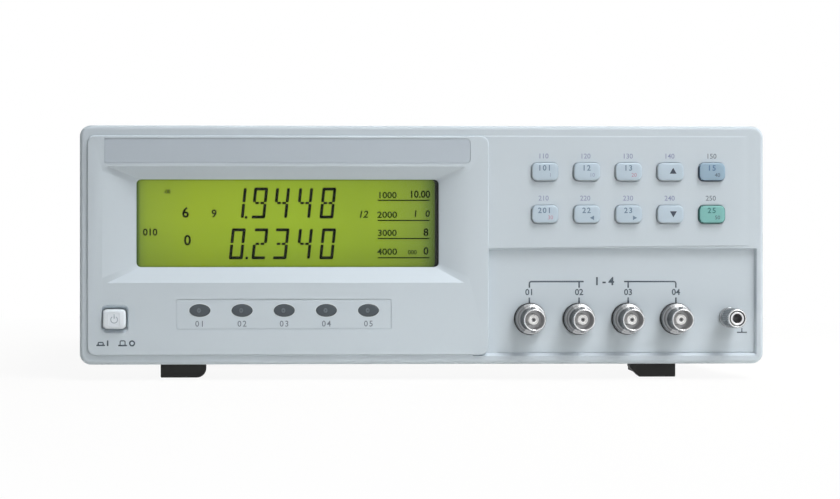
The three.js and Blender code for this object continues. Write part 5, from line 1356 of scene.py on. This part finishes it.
def tilt_leg(side_name, middle_x):
    arm_rect = (middle_x - 4.4, middle_x + 4.4, 0.5, 4.1)
    tip_rect = (middle_x - 2.6, middle_x + 2.6, 0.6, 4.0)
    arm = slab(f"leg_arm_{side_name}", arm_rect, HINGE_DEPTH, 51.0, radius=0.5, steps=3)
    reshape_end(arm, 51.0, arm_rect, tip_rect)
    push_end(arm, 51.0, 2.4, tip_rect, (middle_x - 2.0, middle_x + 2.0, 1.2, 3.5))
    combine(arm, "UNION", cross_pin("knuckle", middle_x, 8.8, 3.6), cross_pin("pin", middle_x, 11.4, 2.0))
    combine(arm, "DIFFERENCE", *[slab("grip", (middle_x - 6, middle_x + 6, -1, 0.85), depth, depth + 0.9)
                                 for depth in (42.0, 44.4, 46.8)])
    body = f"tilt_leg_{side_name}"
    place_on(smooth(arm, 30), body, black_rubber, "foot", [body])


tilt_leg("left", -LEG_MIDDLE)
tilt_leg("right", LEG_MIDDLE)
print("legs fold at depth", HINGE_DEPTH)

# %% [markdown]
# Screws hold the cover, the rear panel and the tray. A pan head is turned with its low dome, and a cross is
# cut into it by a boolean. One head is modelled facing the rear and then turned and copied to its places.

# %% Screws
screw_head = turned("screw_head", 0, 0, [
    (0, -0.6), (1.4, -0.6), (1.4, 0.0), (2.75, 0.0), (2.8, 0.35), (2.6, 0.9), (2.2, 1.3), (1.5, 1.55),
    (0.8, 1.62), (0, 1.65),
], steps=32)
cross = slab("cross_upright", around(0, 0, 0.6, 2.9), 0.75, 2.5)
combine(cross, "UNION", slab("cross_level", around(0, 0, 2.9, 0.6), 0.75, 2.5))
combine(screw_head, "DIFFERENCE", cross)
smooth(screw_head)
screw_head.data.transform(Matrix.Translation((0, -FACE_DEPTH, 0)))
facings = {"rear": Matrix.Identity(4), "right": Matrix.Rotation(-math.pi / 2, 4, "Z"),
           "left": Matrix.Rotation(math.pi / 2, 4, "Z"), "bench": Matrix.Rotation(-math.pi / 2, 4, "X")}


def screw(x, depth, z, facing, spin):
    """A copy of the screw head with its top facing the rear, a side or the bench."""
    head = copy_of(screw_head, "screw")
    head.data.transform(facings[facing] @ Matrix.Rotation(math.radians(spin), 4, "Y"))
    head.data.transform(Matrix.Translation(at(x, depth, z)))
    return head


REAR, COVER_SIDE, TRAY_BOTTOM = 283.9, 150.5, 9.8
rear_places = [(x, z) for z in (104.2, 15.6) for x in (-143.5, 0.0, 143.5)]
tray_places = [(-60, 75), (60, 75), (-60, 160), (60, 160), (0, 230)]
heads = [screw(x, REAR, z, "rear", 17 + 29 * i) for i, (x, z) in enumerate(rear_places)]
heads += [screw(sign * COVER_SIDE, depth, 15.8, side, 11 + 23 * i)
          for side, sign in (("left", -1), ("right", 1)) for i, depth in enumerate((48.0, 150.0, 252.0))]
heads += [screw(x, depth, TRAY_BOTTOM, "bench", 40 * i) for i, (x, depth) in enumerate(tray_places)]
place_on(joined("case_screws", *heads), "case", screw_zinc, "chrome")
bpy.data.objects.remove(screw_head)
print("screws", len(heads))

# %% [markdown]
# On the rear panel are two D-shaped sockets. Each is a tin-plated shell round a black face with rows of
# contact holes, between two six-sided posts. The shell's outline is a rounded slab whose lower side is drawn
# in. The same outline, a little smaller, makes the face.

# %% Rear sockets
FLANGE_REAR, SOCKET_REAR, SOCKET_Z = 284.95, 290.75, 35.29
HOLE_PITCH, ROW_HEIGHT, POST_LENGTH = 2.77, 1.42, 4.6


def d_block(name, x, width, height, front, back, radius):
    block = slab(name, around(x, SOCKET_Z, width, height), front, back, radius, steps=5)
    choose(block, "VERT", lambda corner: corner.co.z < SOCKET_Z * MM)
    ops.transform.resize(value=((width - 2.8) / width, 1, 1), center_override=at(x, 0, 0))
    return done(block)


def threaded_post(x):
    """A six-sided post with a bevelled end and a hole down its middle."""
    post = disc("post", x, SOCKET_Z, 5.3, FLANGE_REAR - 0.1, FLANGE_REAR + POST_LENGTH, sides=6)
    bevel_rim(post, FLANGE_REAR + POST_LENGTH, 0.3, 1, near=0.01)
    return combine(post, "DIFFERENCE",
                   disc("thread", x, SOCKET_Z, 2.8, FLANGE_REAR + 0.6, FLANGE_REAR + 6, sides=24))


def rear_socket(name, x, width, upper, lower):
    """The shell, the flange and the posts of one socket, and its black face with the contact holes."""
    shell_block = d_block("shell_block", x, width, 8.3, FLANGE_REAR - 0.4, SOCKET_REAR, 2.3)
    mouth = d_block("mouth", x, width - 1.0, 7.3, FLANGE_REAR + 0.2, SOCKET_REAR + 1, 1.8)
    combine(shell_block, "DIFFERENCE", mouth)
    flange = slab("flange", around(x, SOCKET_Z, width + 14, 12.5), FLANGE_REAR - 0.8, FLANGE_REAR, radius=1.2)
    back_block = d_block("back_block", x, width - 0.4, 7.9, 274.9, FLANGE_REAR - 0.7, 2.1)
    combine(shell_block, "UNION", flange, back_block)
    posts = [threaded_post(x + side * (width / 2 + 4.05)) for side in (-1, 1)]
    metal = smooth(joined(f"{name}_metal", shell_block, *posts))
    place_on(metal, "case", tin_plate, "zinc_sheet", [name])

    face = d_block(f"{name}_face", x, width - 1.05, 7.25, FLANGE_REAR, SOCKET_REAR - 0.6, 1.8)
    contacts = [disc("contact_hole", x + (i - (count - 1) / 2) * HOLE_PITCH, SOCKET_Z + level, 1.15,
                     SOCKET_REAR - 4, SOCKET_REAR, sides=16)
                for count, level in ((upper, ROW_HEIGHT), (lower, -ROW_HEIGHT)) for i in range(count)]
    combine(face, "DIFFERENCE", joined("contact_holes", *contacts))
    place_on(smooth(face), "case", black_plastic, "black_plastic")


rear_socket("serial_socket", 36.84, 16.9, 5, 4)
rear_socket("handler_socket", 99.77, 38.9, 13, 12)
print("rear sockets at depth", FLANGE_REAR, "to", SOCKET_REAR)

# %% [markdown]
# The mains inlet keeps its CAD housing. Its three flat pins are metal, so each gets a plated sleeve with a
# rounded tip that fits over the pin of the housing.

# %% Inlet pins
INLET_FLOOR, SLEEVE_LENGTH = 271.15, 13.4
inlet_x, inlet_z = -104.99, 38.0
sleeves = []
for dx, dz in ((-7, -2), (0, 2), (7, -2)):
    rect = around(inlet_x + dx, inlet_z + dz, 2.1, 4.1)
    sleeve = slab("pin", rect, INLET_FLOOR, INLET_FLOOR + SLEEVE_LENGTH, radius=0.25, steps=3)
    sleeves.append(push_end(sleeve, INLET_FLOOR + SLEEVE_LENGTH, 0.75, rect, inset(rect, 0.35)))
place_on(smooth(joined("inlet_pins", *sleeves), 50), "case", nickel, "chrome")
print("inlet pins", len(sleeves))
